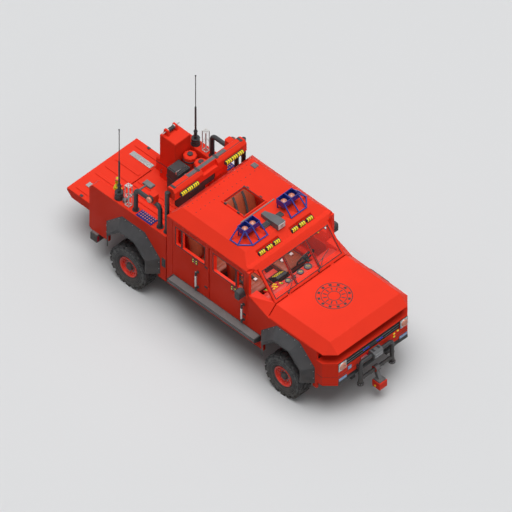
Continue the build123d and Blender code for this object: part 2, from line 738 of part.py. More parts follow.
def cab_side():
    rail_z = DOOR_TOP_Z + SHUT_GAP
    inner = WALL_IN - SHUT_GAP
    sill = block(FENDER_REAR, CAB_REAR, FLOOR_HALF, HALF_WIDTH, SILL_Z, SILL_TOP)
    hinge_post = block(FENDER_REAR, FENDER_REAR + POST_WIDTH, WALL_IN, HALF_WIDTH, SILL_TOP, rail_z)
    rear_post = block(DOOR_REAR, CAB_REAR, WALL_IN, HALF_WIDTH, SILL_TOP, rail_z)
    rail = block(FENDER_REAR, CAB_REAR, POST_IN, HALF_WIDTH, rail_z, ROOF_BASE_Z)
    half = CENTRE_POST / 2
    centre_post = block(DOOR_SPLIT - half, DOOR_SPLIT + half, POST_IN, inner, SILL_TOP, rail_z)
    side = sill.fuse(hinge_post, rear_post, rail, centre_post)
    for z in DOOR_HINGES:
        side -= door_barrel(DOOR_FRONT, z, z + HINGE_LEAF + 1, HINGE_R + 1)
        side += door_barrel(DOOR_FRONT, z - HINGE_LEAF, z, HINGE_R)
        arm = block(DOOR_SPLIT - 5, DOOR_SPLIT + 5, inner - 5, HALF_WIDTH, z - HINGE_LEAF, z)
        side += arm.fuse(door_barrel(DOOR_AXES[1], z - HINGE_LEAF, z, HINGE_R))
    return side


keep("cab_side_left", cab_side())
keep("cab_side_right", mirror(cab_side(), about=Plane.XZ))

# Rear wall of the cab with its window
REAR_WINDOW_HALF = 600.0


def cab_rear_wall():
    low = CAB_FLOOR_Z - FLOOR_PLATE
    front = CAB_REAR - DOOR_WALL
    inner = FLOOR_HALF
    wall = block(front, CAB_REAR, -inner, inner, low, ROOF_BASE_Z)
    for side in (1, -1):
        wall += on_side(block(front, CAB_REAR, inner, WALL_IN, SILL_TOP, DOOR_TOP_Z + SHUT_GAP), side)
    return wall - block(front - 1, CAB_REAR + 1, -REAR_WINDOW_HALF, REAR_WINDOW_HALF, DECK_Z, DOOR_TOP_Z - 40)


keep("cab_rear_wall", cab_rear_wall())

# Windshield: a raked frame with two mullions and three panes
SCREEN_RAKE = 0.794       # stations back for each unit of height
SCREEN_DEPTH = 58.0
SCREEN_Z = (DECK_Z + 45.0, DOOR_TOP_Z + 3.0)
A_PILLAR = 50.0
MULLION_Y = 280.0
MULLION = 22.0
GLASS = 8.0
SIDE_PANE = (MULLION_Y + MULLION / 2, TOP_HALF - A_PILLAR)
MIDDLE_PANE = MULLION_Y - MULLION / 2
PANES = [(-SIDE_PANE[1], -SIDE_PANE[0]), (-MIDDLE_PANE, MIDDLE_PANE), SIDE_PANE]


def screen_station(z):
    """Outer face of the windshield at a height."""
    return COWL + (z - DECK_Z) * SCREEN_RAKE


def raked_slab(offset, depth, z0, z1, y0, y1):
    front0 = screen_station(z0) + offset
    front1 = screen_station(z1) + offset
    return side_prism([(front0, z0), (front1, z1), (front1 + depth, z1), (front0 + depth, z0)], y0, y1)


def windshield_frame():
    frame = raked_slab(0, SCREEN_DEPTH, DECK_Z, ROOF_BASE_Z, -TOP_HALF, TOP_HALF)
    low, high = SCREEN_Z
    for y0, y1 in PANES:
        frame -= block(COWL, screen_station(high) + 2 * SCREEN_DEPTH, y0, y1, low, high)
    return frame


def windshield_glass():
    offset = (SCREEN_DEPTH - GLASS) / 2
    return [raked_slab(offset, GLASS, *SCREEN_Z, y0, y1) for y0, y1 in PANES]


keep("windshield_frame", windshield_frame())
keep("windshield_glass", *windshield_glass())

# Roof: a hollow cover with shoulders, a stepped brow, and an open hatch
BROW_RUN = 85.0           # flat step over the windshield
BROW_Z = ROOF_Z - 146.0
ROOF_FRONT = screen_station(ROOF_BASE_Z)
HATCH_FRONT = DOOR_SPLIT - 70.0
HATCH_LENGTH = 510.0
HATCH = (HATCH_FRONT, HATCH_FRONT + HATCH_LENGTH)
HATCH_HALF = 255.0
HATCH_RIM = 26.0
NICHE_FRONT = COWL + 566.0
NICHE = (NICHE_FRONT, NICHE_FRONT + 104.0)   # lamp niches in the front bevel
NICHE_Y = (128.0, 672.0)
NICHE_WALL = 22.0


def roof_form(inset, base):
    lean = inset * (2 - math.sqrt(2))
    section = shoulder_section(HALF_WIDTH - inset, base, ROOF_Z - inset, BEVEL - lean)
    brow = screen_station(BROW_Z)
    slope = (ROOF_Z - BROW_Z) * 1.29
    top = ROOF_Z - inset
    profile = [(screen_station(base) + inset, base), (brow + inset, BROW_Z - inset),
               (brow + BROW_RUN + inset, BROW_Z - inset), (brow + BROW_RUN + slope + inset, top),
               (CAB_REAR - BEVEL - inset + lean, top), (CAB_REAR - inset, ROOF_EDGE_Z - inset + lean),
               (CAB_REAR - inset, base)]
    return cover(section, profile)


def roof():
    shell = roof_form(0, ROOF_BASE_Z) - roof_form(SHEET, ROOF_BASE_Z - SHEET)
    front, rear = HATCH
    rim = HATCH_RIM
    shell += block(front - rim, rear + rim, -HATCH_HALF - rim, HATCH_HALF + rim, ROOF_Z - SHEET, ROOF_Z + rim)
    shell -= block(front, rear, -HATCH_HALF, HATCH_HALF, ROOF_Z - SHEET - 1, ROOF_Z + rim + 1)
    reach = HALF_WIDTH + 1
    niche_front, niche_rear = NICHE
    y0, y1 = NICHE_Y
    wall = NICHE_WALL
    pan = block(niche_front, niche_rear + wall, y0 - wall, y1 + wall, BROW_Z - wall, ROOF_Z)
    pan = pan & roof_form(0, ROOF_BASE_Z)
    for side in (1, -1):
        shell += on_side(pan, side)
        shell -= on_side(block(niche_front, niche_rear, y0, y1, BROW_Z, ROOF_Z), side)
    for side in (1, -1):
        notch = [(ROOF_FRONT - 40, TOP_HALF - 40), (ROOF_FRONT - 40, reach), (FENDER_REAR + 60, reach)]
        shell -= on_side(plan_prism(notch, ROOF_BASE_Z - 1, BROW_Z + 60), side)
    return shell


keep("roof", roof())

# Doors: leaves with cut windows, a window bar and a tall grab handle
BELT_Z = DECK_Z
WINDOW_TOP_Z = DOOR_TOP_Z - 53.0
DOORS = [  # name, front, rear, window front, window rear, window bar, handle station
    ("front", DOOR_AXES[0], DOOR_SPLIT - SPLIT_GAP / 2, DOOR_FRONT + 85, DOOR_SPLIT - 98, DOOR_FRONT + 255,
     DOOR_FRONT + 70),
    ("rear", DOOR_AXES[1], DOOR_REAR - SHUT_GAP, DOOR_SPLIT + 102, DOOR_REAR - 80, DOOR_REAR - 233,
     DOOR_SPLIT + 270)]
WINDOW_BAR = 22.0
HANDLE_Z = (DOOR_BOTTOM_Z + 55.0, DOOR_BOTTOM_Z + 500.0)
HANDLE_R = 14.0
STANDOFF_R = 11.0
HANDLE_OUT = 55.0


def door(front, rear, window_front, window_rear, bar, handle):
    leaf = block(front, rear, WALL_IN, HALF_WIDTH, DOOR_BOTTOM_Z, DOOR_TOP_Z)
    leaf -= block(window_front, bar - WINDOW_BAR / 2, WALL_IN - 1, HALF_WIDTH + 1, BELT_Z, WINDOW_TOP_Z)
    leaf -= block(bar + WINDOW_BAR / 2, window_rear, WALL_IN - 1, HALF_WIDTH + 1, BELT_Z, WINDOW_TOP_Z)
    for z in DOOR_HINGES:
        leaf -= door_barrel(front, z - HINGE_LEAF - 1, z + SEAT_GAP, HINGE_R + 1)
        leaf += door_barrel(front, z + SEAT_GAP, z + HINGE_LEAF, HINGE_R)
    low, high = HANDLE_Z
    out = HALF_WIDTH + HANDLE_OUT
    leaf += rod(point(handle, out, low), point(handle, out, high), HANDLE_R)
    for z in (low + 40, high - 40):
        leaf += rod(point(handle, HALF_WIDTH - 2, z), point(handle, out, z), STANDOFF_R)
    return leaf


for end, front, rear, window_front, window_rear, bar, handle in DOORS:
    leaf = door(front, rear, window_front, window_rear, bar, handle)
    keep("door_" + end + "_left", leaf)
    keep("door_" + end + "_right", mirror(leaf, about=Plane.XZ))

# Mirrors on the front doors
MIRROR_Z = (DECK_Z - 60.0, DECK_Z + 130.0)
MIRROR_REACH = HALF_WIDTH + FLARE_OUT


def door_mirror():
    low, high = MIRROR_Z
    front = DOOR_FRONT + 18
    shell = block(front, front + 110, HALF_WIDTH + 35, MIRROR_REACH, low, high)
    shell = chamfer(shell.edges().filter_by(Axis.Y), 22)
    arm = block(front + 20, front + 65, HALF_WIDTH, HALF_WIDTH + 40, low + 35, low + 95)
    return shell.fuse(arm)


keep("mirror_left", door_mirror())
keep("mirror_right", mirror(door_mirror(), about=Plane.XZ))

# Interior: dashboard with its console, seats and the steering wheel
CONSOLE_HALF = 130.0
CONSOLE_Z = CAB_FLOOR_Z + 320.0
DASH_HALF = TOP_HALF - 10.0
DASH_FRONT = FIREWALL + FIREWALL_PLATE
DASH_FACE = DASH_FRONT + 270.0
DASH_FOOT = DASH_FRONT + 190.0
DASH_LOW_Z = CAB_FLOOR_Z + 490.0
DASH_LIP_Z = DASH_LOW_Z + 150.0
DASH_TOP_Z = DECK_Z - COWL_PLATE - 7
DASH_BROW = 63.0          # drop of the instrument panel's sloping top
SEAT_ROWS = [  # cushion front, list of (inner y, outer y)
    (DOOR_FRONT + 260, [(175.0, 700.0), (-700.0, -175.0)]),
    (DOOR_SPLIT + 160, [(-820.0, -20.0), (20.0, 820.0)])]
SEAT_PROFILE = [  # station behind the cushion's front edge, height over the floor
    (0, 0), (0, 350), (40, 400), (470, 375), (600, 950), (620, 1120), (720, 1120), (735, 950), (590, 370),
    (570, 0)]
CONSOLE_REAR = SEAT_ROWS[0][0] + 260


def dashboard():
    outline = [(DASH_FRONT, DASH_LOW_Z), (DASH_FRONT, DASH_TOP_Z), (DASH_FRONT + 160, DASH_TOP_Z),
               (DASH_FACE, DASH_TOP_Z - DASH_BROW), (DASH_FACE, DASH_LIP_Z), (DASH_FOOT, DASH_LOW_Z)]
    dash = side_prism(outline, -DASH_HALF, DASH_HALF)
    column = block(DASH_FRONT, DASH_FOOT, -CONSOLE_HALF, CONSOLE_HALF, CAB_FLOOR_Z, DASH_LOW_Z + 50)
    tunnel = block(DASH_FOOT, CONSOLE_REAR, -CONSOLE_HALF, CONSOLE_HALF, CAB_FLOOR_Z, CONSOLE_Z)
    return dash.fuse(column, tunnel)


keep("dashboard", dashboard())


def seats():
    pieces = []
    for front, spans in SEAT_ROWS:
        outline = [(front + run, CAB_FLOOR_Z + rise) for run, rise in SEAT_PROFILE]
        for y0, y1 in spans:
            pieces.append(side_prism(outline, y0, y1))
    return pieces


keep("seats", *seats())

WHEEL_HUB = (DASH_FACE + 175, 437.0, DASH_LOW_Z + 220)
WHEEL_RING = 190.0
WHEEL_TUBE = 15.0
COLUMN_RAKE = 0.4         # rise of the column for each unit back


def steering_wheel():
    station, y, z = WHEEL_HUB
    hub = point(station, y, z)
    foot = point(DASH_FACE, y, z - (station - DASH_FACE) * COLUMN_RAKE)
    plane = Plane(origin=hub, z_dir=hub - foot)
    ring = plane * Torus(WHEEL_RING, WHEEL_TUBE)
    wheel = rod(foot, hub, 28).fuse(plane * Cylinder(48, 40), ring)
    for angle in (90, 210, 330):
        spoke = Pos(WHEEL_RING / 2, 0, 0) * Box(WHEEL_RING, 30, 14)
        wheel += plane * Rot(0, 0, angle) * spoke
    return wheel - block(DASH_FRONT, DASH_FACE, y - 60, y + 60, DASH_LOW_Z, DASH_TOP_Z)


keep("steering_wheel", steering_wheel())

# Bed: floor on cross sills, double-walled sides round the rear arches, and a front wall
BED_WALL = 45.0
GATE_AXIS = FLOOR_REAR + REAR_GAP / 2
SILL_STATIONS = [BED_FRONT + 70, BED_FRONT + 460, BED_FRONT + 1060, BED_FRONT + 1580]


def bed_floor():
    plate = block(BED_FRONT, FLOOR_REAR, -TOP_HALF, TOP_HALF, FLOOR_Z - FLOOR_PLATE, FLOOR_Z)
    sills = [block(station, station + 90, -TOP_HALF, TOP_HALF, RAIL_TOP, FLOOR_Z - FLOOR_PLATE)
             for station in SILL_STATIONS]
    barrels = both_sides(level_barrel(GATE_AXIS, FLOOR_REAR, BARREL_Y - BARREL, BARREL_Y, FLOOR_Z))
    return plate.fuse(*sills, *barrels)


def bed_side():
    outline = [(BED_FRONT, SILL_Z), (BED_FRONT, DECK_Z), (BED_REAR - 80, DECK_Z), (BED_REAR, DECK_Z - 80),
               (BED_REAR, SILL_Z + 40), (BED_REAR - 40, SILL_Z)]
    side = side_prism(outline, TOP_HALF, HALF_WIDTH)
    side -= block(BED_FRONT - 1, BED_REAR + 1, TOP_HALF - 1, HALF_WIDTH - PANEL,
                  SILL_Z - 1, FLOOR_Z - FLOOR_PLATE)
    side -= block(BED_FRONT + BED_WALL, BED_REAR - BED_WALL, TOP_HALF + BED_WALL, HALF_WIDTH - PANEL,
                  SILL_Z - 1, DECK_Z - 50)
    return side - arch_cut(REAR_AXLE, TOP_HALF + BED_WALL, HALF_WIDTH + 1)


def bed_front_wall():
    return block(BED_FRONT, BED_FRONT + BED_WALL, -TOP_HALF, TOP_HALF, FLOOR_Z, DECK_Z)


keep("bed_floor", bed_floor())
keep("bed_sides", *both_sides(bed_side()))
keep("bed_front_wall", bed_front_wall())

# Tailgate, lying open behind the floor
GATE_DEPTH = 170.0
GATE_CHAMFER = 120.0
GATE_HALF = TOP_HALF + 3.0


def tailgate():
    low = FLOOR_Z - GATE_DEPTH
    outline = [(GATE_FRONT, low), (GATE_FRONT, FLOOR_Z), (TAIL_REACH, FLOOR_Z),
               (TAIL_REACH, FLOOR_Z - GATE_DEPTH + GATE_CHAMFER), (TAIL_REACH - GATE_CHAMFER, low)]
    gate = side_prism(outline, -GATE_HALF, GATE_HALF)
    barrel = level_barrel(GATE_AXIS, GATE_FRONT, BARREL_Y + SEAT_GAP, BARREL_Y + BARREL, FLOOR_Z)
    return gate.fuse(*both_sides(barrel))


keep("tailgate", tailgate())

# Running boards and the rear bumper bar
BOARD = (FRONT_AXLE + FLARE_HALF + 15, DOOR_REAR - 30)
BOARD_OUT = 160.0
BOARD_DEPTH = 75.0
BUMPER = (BED_REAR - 250, BED_REAR - 90)
BUMPER_HALF = 1110.0
BUMPER_LOW_Z = RAIL_BOTTOM - 160.0
TOW_HOLE_R = 13.0         # for the shank of a tow ball


def running_board():
    out = HALF_WIDTH + BOARD_OUT
    low = STEP_Z - BOARD_DEPTH
    outline = [(HALF_WIDTH, low - 60), (HALF_WIDTH, STEP_Z), (out, STEP_Z), (out, low)]
    return front_prism(outline, *BOARD)


keep("running_boards", *both_sides(running_board()))


def rear_bumper():
    bar = block(*BUMPER, -BUMPER_HALF, BUMPER_HALF, BUMPER_LOW_Z, RAIL_BOTTOM)
    middle = sum(BUMPER) / 2
    return bar - rod(point(middle, 0, BUMPER_LOW_Z - 1), point(middle, 0, RAIL_BOTTOM + 1), TOW_HOLE_R)


keep("rear_bumper", rear_bumper())

# Roof gear: siren horn, tubular lamp guards and lamps
SIREN = (NICHE[1] + 30, NICHE[1] + 490)


def siren():
    front, rear = SIREN
    plan = [(front, -90), (front, 90), (front + 170, 90), (rear, 48), (rear, -48), (front + 170, -90)]
    horn = plan_prism(plan, ROOF_Z, ROOF_Z + 130)
    horn -= side_prism([(rear, ROOF_Z + 131), (rear, ROOF_Z + 70), (front + 120, ROOF_Z + 131)], -100, 100)
    for side in (1, -1):
        horn += on_side(block(front + 190, front + 290, 40, 250, ROOF_Z, ROOF_Z + 40), side)
    return horn


keep("siren", siren())

GUARD_TOE = NICHE[1] + 82.0       # foot of the front struts
GUARD_FRONT = GUARD_TOE + 183.0
GUARD_BOX = (GUARD_FRONT, GUARD_FRONT + 187.0)      # stations of the lamp box
GUARD_Y = (289.0, 666.0)
GUARD_FLOOR_Z = ROOF_Z + 110.0
GUARD_TOP_Z = GUARD_FLOOR_Z + 118.0
GUARD_R = 14.0
GUARD_WALL = 10.0
GUARD_SINK = 2.0          # flat on the underside of the foot tubes


def lamp_guard():
    front, rear = GUARD_BOX
    y0, y1 = GUARD_Y
    y_mid = (y0 + y1) / 2
    wall = GUARD_WALL
    box = block(front, rear, y0, y1, GUARD_FLOOR_Z, GUARD_TOP_Z)
    for a, b in ((y0, y_mid), (y_mid, y1)):
        box -= block(front + wall, rear - wall, a + wall, b - wall, GUARD_FLOOR_Z + wall, GUARD_TOP_Z + 1)
    foot_z = ROOF_Z + GUARD_R - GUARD_SINK
    outer = TOP_HALF - GUARD_R
    base = [point(rear, outer, foot_z), point(front, outer, foot_z), point(GUARD_TOE, y1 - 10, foot_z),
            point(GUARD_TOE, y_mid, foot_z), point(GUARD_TOE, y0, foot_z)]
    inset = GUARD_R + 3
    top = GUARD_TOP_Z - inset
    nose = front + inset
    tail = rear - inset
    struts = [  # upper end, lower end
        (point(tail, y1 - inset, top), base[0]), (point(nose, y1 - inset, top), base[1]),
        (point(nose, y1 - inset, top), base[2]), (point(nose, y_mid, top), base[3]),
        (point(nose, y0 + inset, top), base[4])]
    for y in (y0 + inset, y1 - inset):
        struts.append((point(tail, y, GUARD_FLOOR_Z + wall / 2), point(tail, y, ROOF_Z - 1)))
    struts += [(base[0], base[1]), (base[1], base[2]), (base[2], base[4])]
    bars = [rod(upper, lower, GUARD_R) for upper, lower in struts]
    joints = [Pos(corner) * Sphere(GUARD_R + 2) for corner in base]
    guard = box.fuse(*bars, *joints)
    return guard - block(GUARD_TOE - 100, rear + 100, 0, HALF_WIDTH, ROOF_Z - 100, ROOF_Z)


keep("lamp_guards", *both_sides(lamp_guard()))

# Lamps: round floods in the guards, square modules in the niches and on the light bar
FLOOD_R = 58.0
FLOOD_HEIGHT = 78.0
MODULES = 3
MODULE_WIDTH = 140.0
MODULE_HEIGHT = 66.0
MODULE_DEPTH = 56.0


def flood_lamp(station, y):
    floor = GUARD_FLOOR_Z + GUARD_WALL
    dome_r = FLOOD_R * 1.25
    drum = rod(point(station, y, floor), point(station, y, floor + FLOOD_HEIGHT), FLOOD_R)
    ball = Pos(point(station, y, floor + FLOOD_HEIGHT - dome_r)) * Sphere(dome_r)
    base = rod(point(station, y, floor), point(station, y, floor + 20), FLOOD_R)
    return (drum & ball).fuse(base)


def flood_lamps():
    station = sum(GUARD_BOX) / 2
    y0, y1 = GUARD_Y
    lamps = []
    for share in (0.25, 0.75):
        lamps += both_sides(flood_lamp(station, y0 + (y1 - y0) * share))
    return lamps


def lamp_module(front, y, z):
    half = MODULE_WIDTH / 2
    shape = block(front, front + MODULE_DEPTH, y - half, y + half, z, z + MODULE_HEIGHT)
    return chamfer(shape.faces().sort_by(Axis.X)[-1].edges(), 9)


RAIL_Y = HALF_WIDTH - 110.0      # middle of the bed rails
LIGHT_BAR_FRONT = CAB_REAR - 30.0
LIGHT_BAR = (LIGHT_BAR_FRONT, LIGHT_BAR_FRONT + 190.0)
LIGHT_BAR_HALF = RAIL_Y - 55.0
LIGHT_BAR_LOW = ROOF_Z + 60.0
LIGHT_BAR_Z = (LIGHT_BAR_LOW, LIGHT_BAR_LOW + 230.0)
LIGHT_BAR_MODULES = (330.0, 760.0)   # span of each row of modules
TUBE_R = 42.0
HOOP_FRONT = BED_FRONT + 247.0
HOOP = (HOOP_FRONT, HOOP_FRONT + 595.0)
HOOP_TOP_Z = DECK_Z + 495.0
HOOP_BEND = 90.0
SIDE_LAMP_R = 58.0
SIDE_LAMP_OUT = 70.0
POD = (HOOP_FRONT + HOOP_BEND + 5, HOOP_FRONT + HOOP_BEND + 145)    # side lamp housing on the hoop
POD_Y = (RAIL_Y - 70, RAIL_Y + 60)
POD_Z = (HOOP_TOP_Z + 20, HOOP_TOP_Z + 200)


def warning_lamps():
    lamps = []
    y0, y1 = NICHE_Y
    a, b = LIGHT_BAR_MODULES
    for i in range(MODULES):
        share = (i + 0.5) / MODULES
        lamps += both_sides(lamp_module(NICHE[0] + 12, y0 + (y1 - y0) * share, BROW_Z))
        z = LIGHT_BAR_Z[0] + 50
        lamps += both_sides(lamp_module(LIGHT_BAR[0] - MODULE_DEPTH, a + (b - a) * share, z))
    return lamps


def side_lamp():
    station = sum(POD) / 2
    z = (HOOP_TOP_Z + TUBE_R + POD_Z[1]) / 2
    drum = rod(point(station, POD_Y[1], z), point(station, POD_Y[1] + SIDE_LAMP_OUT, z), SIDE_LAMP_R)
    return fillet(drum.edges().sort_by(Axis.Y)[-1], LENS_ROUND)


keep("round_lamps", *flood_lamps(), *both_sides(head_lamp()), *both_sides(side_lamp()))
keep("warning_lamps", *warning_lamps())


# Light bar over the cab, carried on two posts, with a hoop along each bed rail
SHELF_Y = (130.0, 430.0)  # locker under the beam
SHELF_DROP = 160.0
BAR_NOTCH = 180.0         # half width of the step in the beam's front
BAR_POST = BED_FRONT + 77.0
FOOT_R = 64.0
FOOT = 14.0


def light_bar():
    low, high = LIGHT_BAR_Z
    front, rear = LIGHT_BAR
    outline = [(front, low), (front, high - 60), (front + 45, high), (rear - 30, high), (rear, high - 30),
               (rear, low)]
    beam = side_prism(outline, -LIGHT_BAR_HALF, LIGHT_BAR_HALF)
    beam -= block(front - 1, front + 70, -BAR_NOTCH, BAR_NOTCH, high - 120, high + 1)
    return beam.fuse(block(front + 20, front + 150, *SHELF_Y, low - SHELF_DROP, low))


def lamp_pod():
    """Side lamp housing, saddled on the hoop."""
    shell = chamfer(block(*POD, *POD_Y, *POD_Z).edges().filter_by(Axis.Z), 15)
    ends = [point(station, RAIL_Y, HOOP_TOP_Z) for station in (POD[0] - 1, POD[1] + 1)]
    return shell - rod(*ends, TUBE_R + SEAT_GAP)


def roll_bar():
    front, rear = HOOP
    path = [(rear, DECK_Z), (rear, HOOP_TOP_Z), (front, HOOP_TOP_Z), (front, DECK_Z)]
    hoop = bent_tube([point(station, RAIL_Y, z) for station, z in path], TUBE_R, HOOP_BEND)
    for station in HOOP:
        hoop += rod(point(station, RAIL_Y, DECK_Z), point(station, RAIL_Y, DECK_Z + FOOT), FOOT_R)
    return hoop


def bar_post():
    stub_z = sum(LIGHT_BAR_Z) / 2
    post = rod(point(BAR_POST, RAIL_Y, DECK_Z), point(BAR_POST, RAIL_Y, stub_z + TUBE_R), TUBE_R)
    stub = rod(point(BAR_POST, LIGHT_BAR_HALF, stub_z), point(BAR_POST, RAIL_Y, stub_z), TUBE_R * 0.8)
    foot = rod(point(BAR_POST, RAIL_Y, DECK_Z), point(BAR_POST, RAIL_Y, DECK_Z + FOOT), FOOT_R)
    return post.fuse(stub, foot)


keep("light_bar", light_bar(), *both_sides(lamp_pod()))
keep("roll_bars", *both_sides(roll_bar()), *both_sides(bar_post()))

# Rail gear: whip antennas on drum bases and studded panels
ANTENNA = BED_FRONT + 1250.0
ANTENNA_STEPS = [  # radius, height of the top over the rail
    (85.0, 18.0), (72.0, 150.0), (30.0, 330.0), (17.0, 900.0), (8.0, 1680.0)]
RAIL_PANEL = (HOOP[0] + 133, HOOP[1] - 92)
RAIL_PANEL_THICK = 16.0


def antenna():
    low = DECK_Z
    sections = []
    for radius, height in ANTENNA_STEPS:
        sections.append(rod(point(ANTENNA, RAIL_Y, low), point(ANTENNA, RAIL_Y, DECK_Z + height), radius))
        low = DECK_Z + height - 1
    return sections[0].fuse(*sections[1:])


def rail_panel():
    return block(*RAIL_PANEL, TOP_HALF + 12, HALF_WIDTH - 14, DECK_Z, DECK_Z + RAIL_PANEL_THICK)


keep("antennas", *both_sides(antenna()))
keep("rail_panels", *both_sides(rail_panel()))

# Gear in the bed: a tall locker with a roller on top, casks, a pump block and a small box
LOCKER = (BED_FRONT + 1284, BED_FRONT + 1658)
LOCKER_Y = (470.0, TOP_HALF - 4.0)
LOCKER_TOP_Z = FLOOR_Z + 1040.0
ROLLER_R = 34.0
CASK_R = 125.0
CASKS = [(BED_FRONT + 1140, 690.0), (BED_FRONT + 870, 690.0)]
CASK_TOP_Z = FLOOR_Z + 760.0
PUMP = (BED_FRONT + 600, BED_FRONT + 980)
PUMP_Y = (160.0, 520.0)
PUMP_TOP_Z = FLOOR_Z + 620.0
CHEST = (LOCKER[1] + 22, LOCKER[1] + 182)
CHEST_TOP_Z = FLOOR_Z + 310.0
BOTTLE = (BED_FRONT + 1454, 83.0 - TOP_HALF)     # station and y of the gas bottle
BOTTLE_STEPS = [  # radius, height of the top over the floor
    (78.0, 740.0), (64.0, 790.0), (24.0, 880.0), (46.0, 950.0), (30.0, 985.0)]
ARM = ANTENNA - 135       # station of the swing arm on the right rail
ARM_REACH = 570.0
ARM_R = 18.0
ARM_Z = DECK_Z + 35.0


def locker():
    front, rear = LOCKER
    y0, y1 = LOCKER_Y
    body = block(front, rear, y0, y1, FLOOR_Z, LOCKER_TOP_Z)
    body = chamfer(body.faces().sort_by(Axis.Z)[-1].edges(), 12)
    top = LOCKER_TOP_Z
    outline = [(rear - 150, top - 1), (rear - 120, top + 110), (rear - 40, top + 110), (rear - 20, top - 1)]
    for y in (y0 + 60, y1 - 110):
        body += side_prism(outline, y, y + 40)
    return body


def roller():
    y0, y1 = LOCKER_Y
    station = LOCKER[1] - 80
    z = LOCKER_TOP_Z + 60
    return rod(point(station, y0 + 100, z), point(station, y1 - 110, z), ROLLER_R)


def cask(station, y):
    ring = RegularPolygon(CASK_R, 8)
    tub = extrude(Plane.XY.offset(FLOOR_Z) * Pos(x_at(station), y) * ring, amount=CASK_TOP_Z - FLOOR_Z)
    return chamfer(tub.faces().sort_by(Axis.Z)[-1].edges(), 20)


def pump():
    body = block(*PUMP, *PUMP_Y, FLOOR_Z, PUMP_TOP_Z)
    return chamfer(body.faces().sort_by(Axis.Z)[-1].edges(), 30)


def chest():
    body = block(*CHEST, LOCKER_Y[0] + 90, LOCKER_Y[1], FLOOR_Z, CHEST_TOP_Z)
    return chamfer(body.faces().sort_by(Axis.Z)[-1].edges(), 25)


def gas_bottle():
    station, y = BOTTLE
    low = FLOOR_Z
    sections = []
    for radius, height in BOTTLE_STEPS:
        sections.append(rod(point(station, y, low), point(station, y, FLOOR_Z + height), radius))
        low = FLOOR_Z + height - 1
    return sections[0].fuse(*sections[1:])


def swing_arm():
    """Arm with a flat head, on a post on the right bed rail."""
    post = rod(point(ARM, -RAIL_Y, DECK_Z), point(ARM, -RAIL_Y, ARM_Z + 25), 38)
    tip = ARM_REACH - RAIL_Y
    bar = rod(point(ARM, -RAIL_Y, ARM_Z), point(ARM, tip, ARM_Z), ARM_R)
    head = block(ARM - 120, ARM + 80, tip - 60, tip + 60, ARM_Z - 15, ARM_Z + 15)
    return post.fuse(bar, head)


def shelf_box():
    """Dark gear box under the light bar."""
    front = LIGHT_BAR[0]
    low = LIGHT_BAR_Z[0]
    box = block(front + 20, front + 150, 110 - 380, 110, low - SHELF_DROP - 10, low)
    return chamfer(box.edges().filter_by(Axis.X), 15)


keep("gas_bottle", gas_bottle())
keep("swing_arm", swing_arm())
keep("bed_lockers", locker(), chest(), *[cask(station, y) for station, y in CASKS])
keep("bed_fittings", pump(), roller(), shelf_box())

os.makedirs("parts", exist_ok=True)
for node, shape in NODES.items():
    export_step(shape, "parts/" + node + ".step")
print(len(NODES), "nodes")
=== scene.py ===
import json
import math

import bmesh
import bpy
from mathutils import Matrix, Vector


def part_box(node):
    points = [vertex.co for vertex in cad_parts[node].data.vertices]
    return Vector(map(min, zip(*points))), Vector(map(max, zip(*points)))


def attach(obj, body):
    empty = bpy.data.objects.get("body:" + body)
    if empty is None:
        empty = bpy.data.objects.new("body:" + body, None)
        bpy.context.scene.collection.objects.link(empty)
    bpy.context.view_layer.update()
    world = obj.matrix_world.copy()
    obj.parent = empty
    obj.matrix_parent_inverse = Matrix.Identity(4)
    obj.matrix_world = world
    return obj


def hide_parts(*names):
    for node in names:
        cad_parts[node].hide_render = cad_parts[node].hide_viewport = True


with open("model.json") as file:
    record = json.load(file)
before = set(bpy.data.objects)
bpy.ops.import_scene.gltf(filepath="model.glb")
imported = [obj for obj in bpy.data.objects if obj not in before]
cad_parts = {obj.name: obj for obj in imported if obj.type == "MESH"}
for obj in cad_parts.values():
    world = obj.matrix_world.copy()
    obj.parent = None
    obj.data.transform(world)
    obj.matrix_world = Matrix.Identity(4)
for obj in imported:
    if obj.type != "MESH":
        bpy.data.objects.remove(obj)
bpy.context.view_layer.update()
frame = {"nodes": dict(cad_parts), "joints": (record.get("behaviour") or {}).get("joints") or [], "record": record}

# Rescue pickup, in metres. A station is a distance behind the front fascia, as in the frame.
FASCIA_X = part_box("front_fascia")[1].x
DECK_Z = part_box("bed_sides")[1].z
FLOOR_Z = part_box("tailgate")[1].z
ROOF_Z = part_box("siren")[0].z
STEP_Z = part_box("running_boards")[1].z
JOINTS = {joint["child"]: Vector(joint["pos_m"]) for joint in frame["joints"]}
SIDES = [("left", 1), ("right", -1)]
TRUCK = "truck"
FORWARD = Vector((1, 0, 0))
LEFT = Vector((0, 1, 0))
UP = Vector((0, 0, 1))
SQUARE = ((-1, -1), (1, -1), (1, 1), (-1, 1))
BOX_FACES = ((0, 1, 3, 2), (4, 6, 7, 5), (0, 4, 5, 1), (2, 3, 7, 6), (0, 2, 6, 4), (1, 5, 7, 3))
SHARP_ANGLE = math.radians(35)

# Slots of the looks that have none of their own
SLOTS = {"tread_rubber": "tyre_rubber", "webbing": "seat_leather", "navy_panel": "blue_paint"}
SLOTS.update({look: "grey_metal" for look in ("silver", "steel", "step_grey", "white_paint")})
SLOTS.update({"lens_blue": "blue_paint", "lens_red": "red_paint", "lens_pale": "lens_warm"})
SLOTS.update({"lens_amber": "lens_yellow", "lens_green": "lens_yellow"})


def at(station, y, z):
    return Vector((FASCIA_X - station, y, z))


def near(middle, reach):
    """Range that reaches equally far to both sides of a middle."""
    return middle - reach, middle + reach


def turns(count, start=0.0):
    """Angles spread evenly round a circle."""
    return [2 * math.pi * (k + start) / count for k in range(count)]


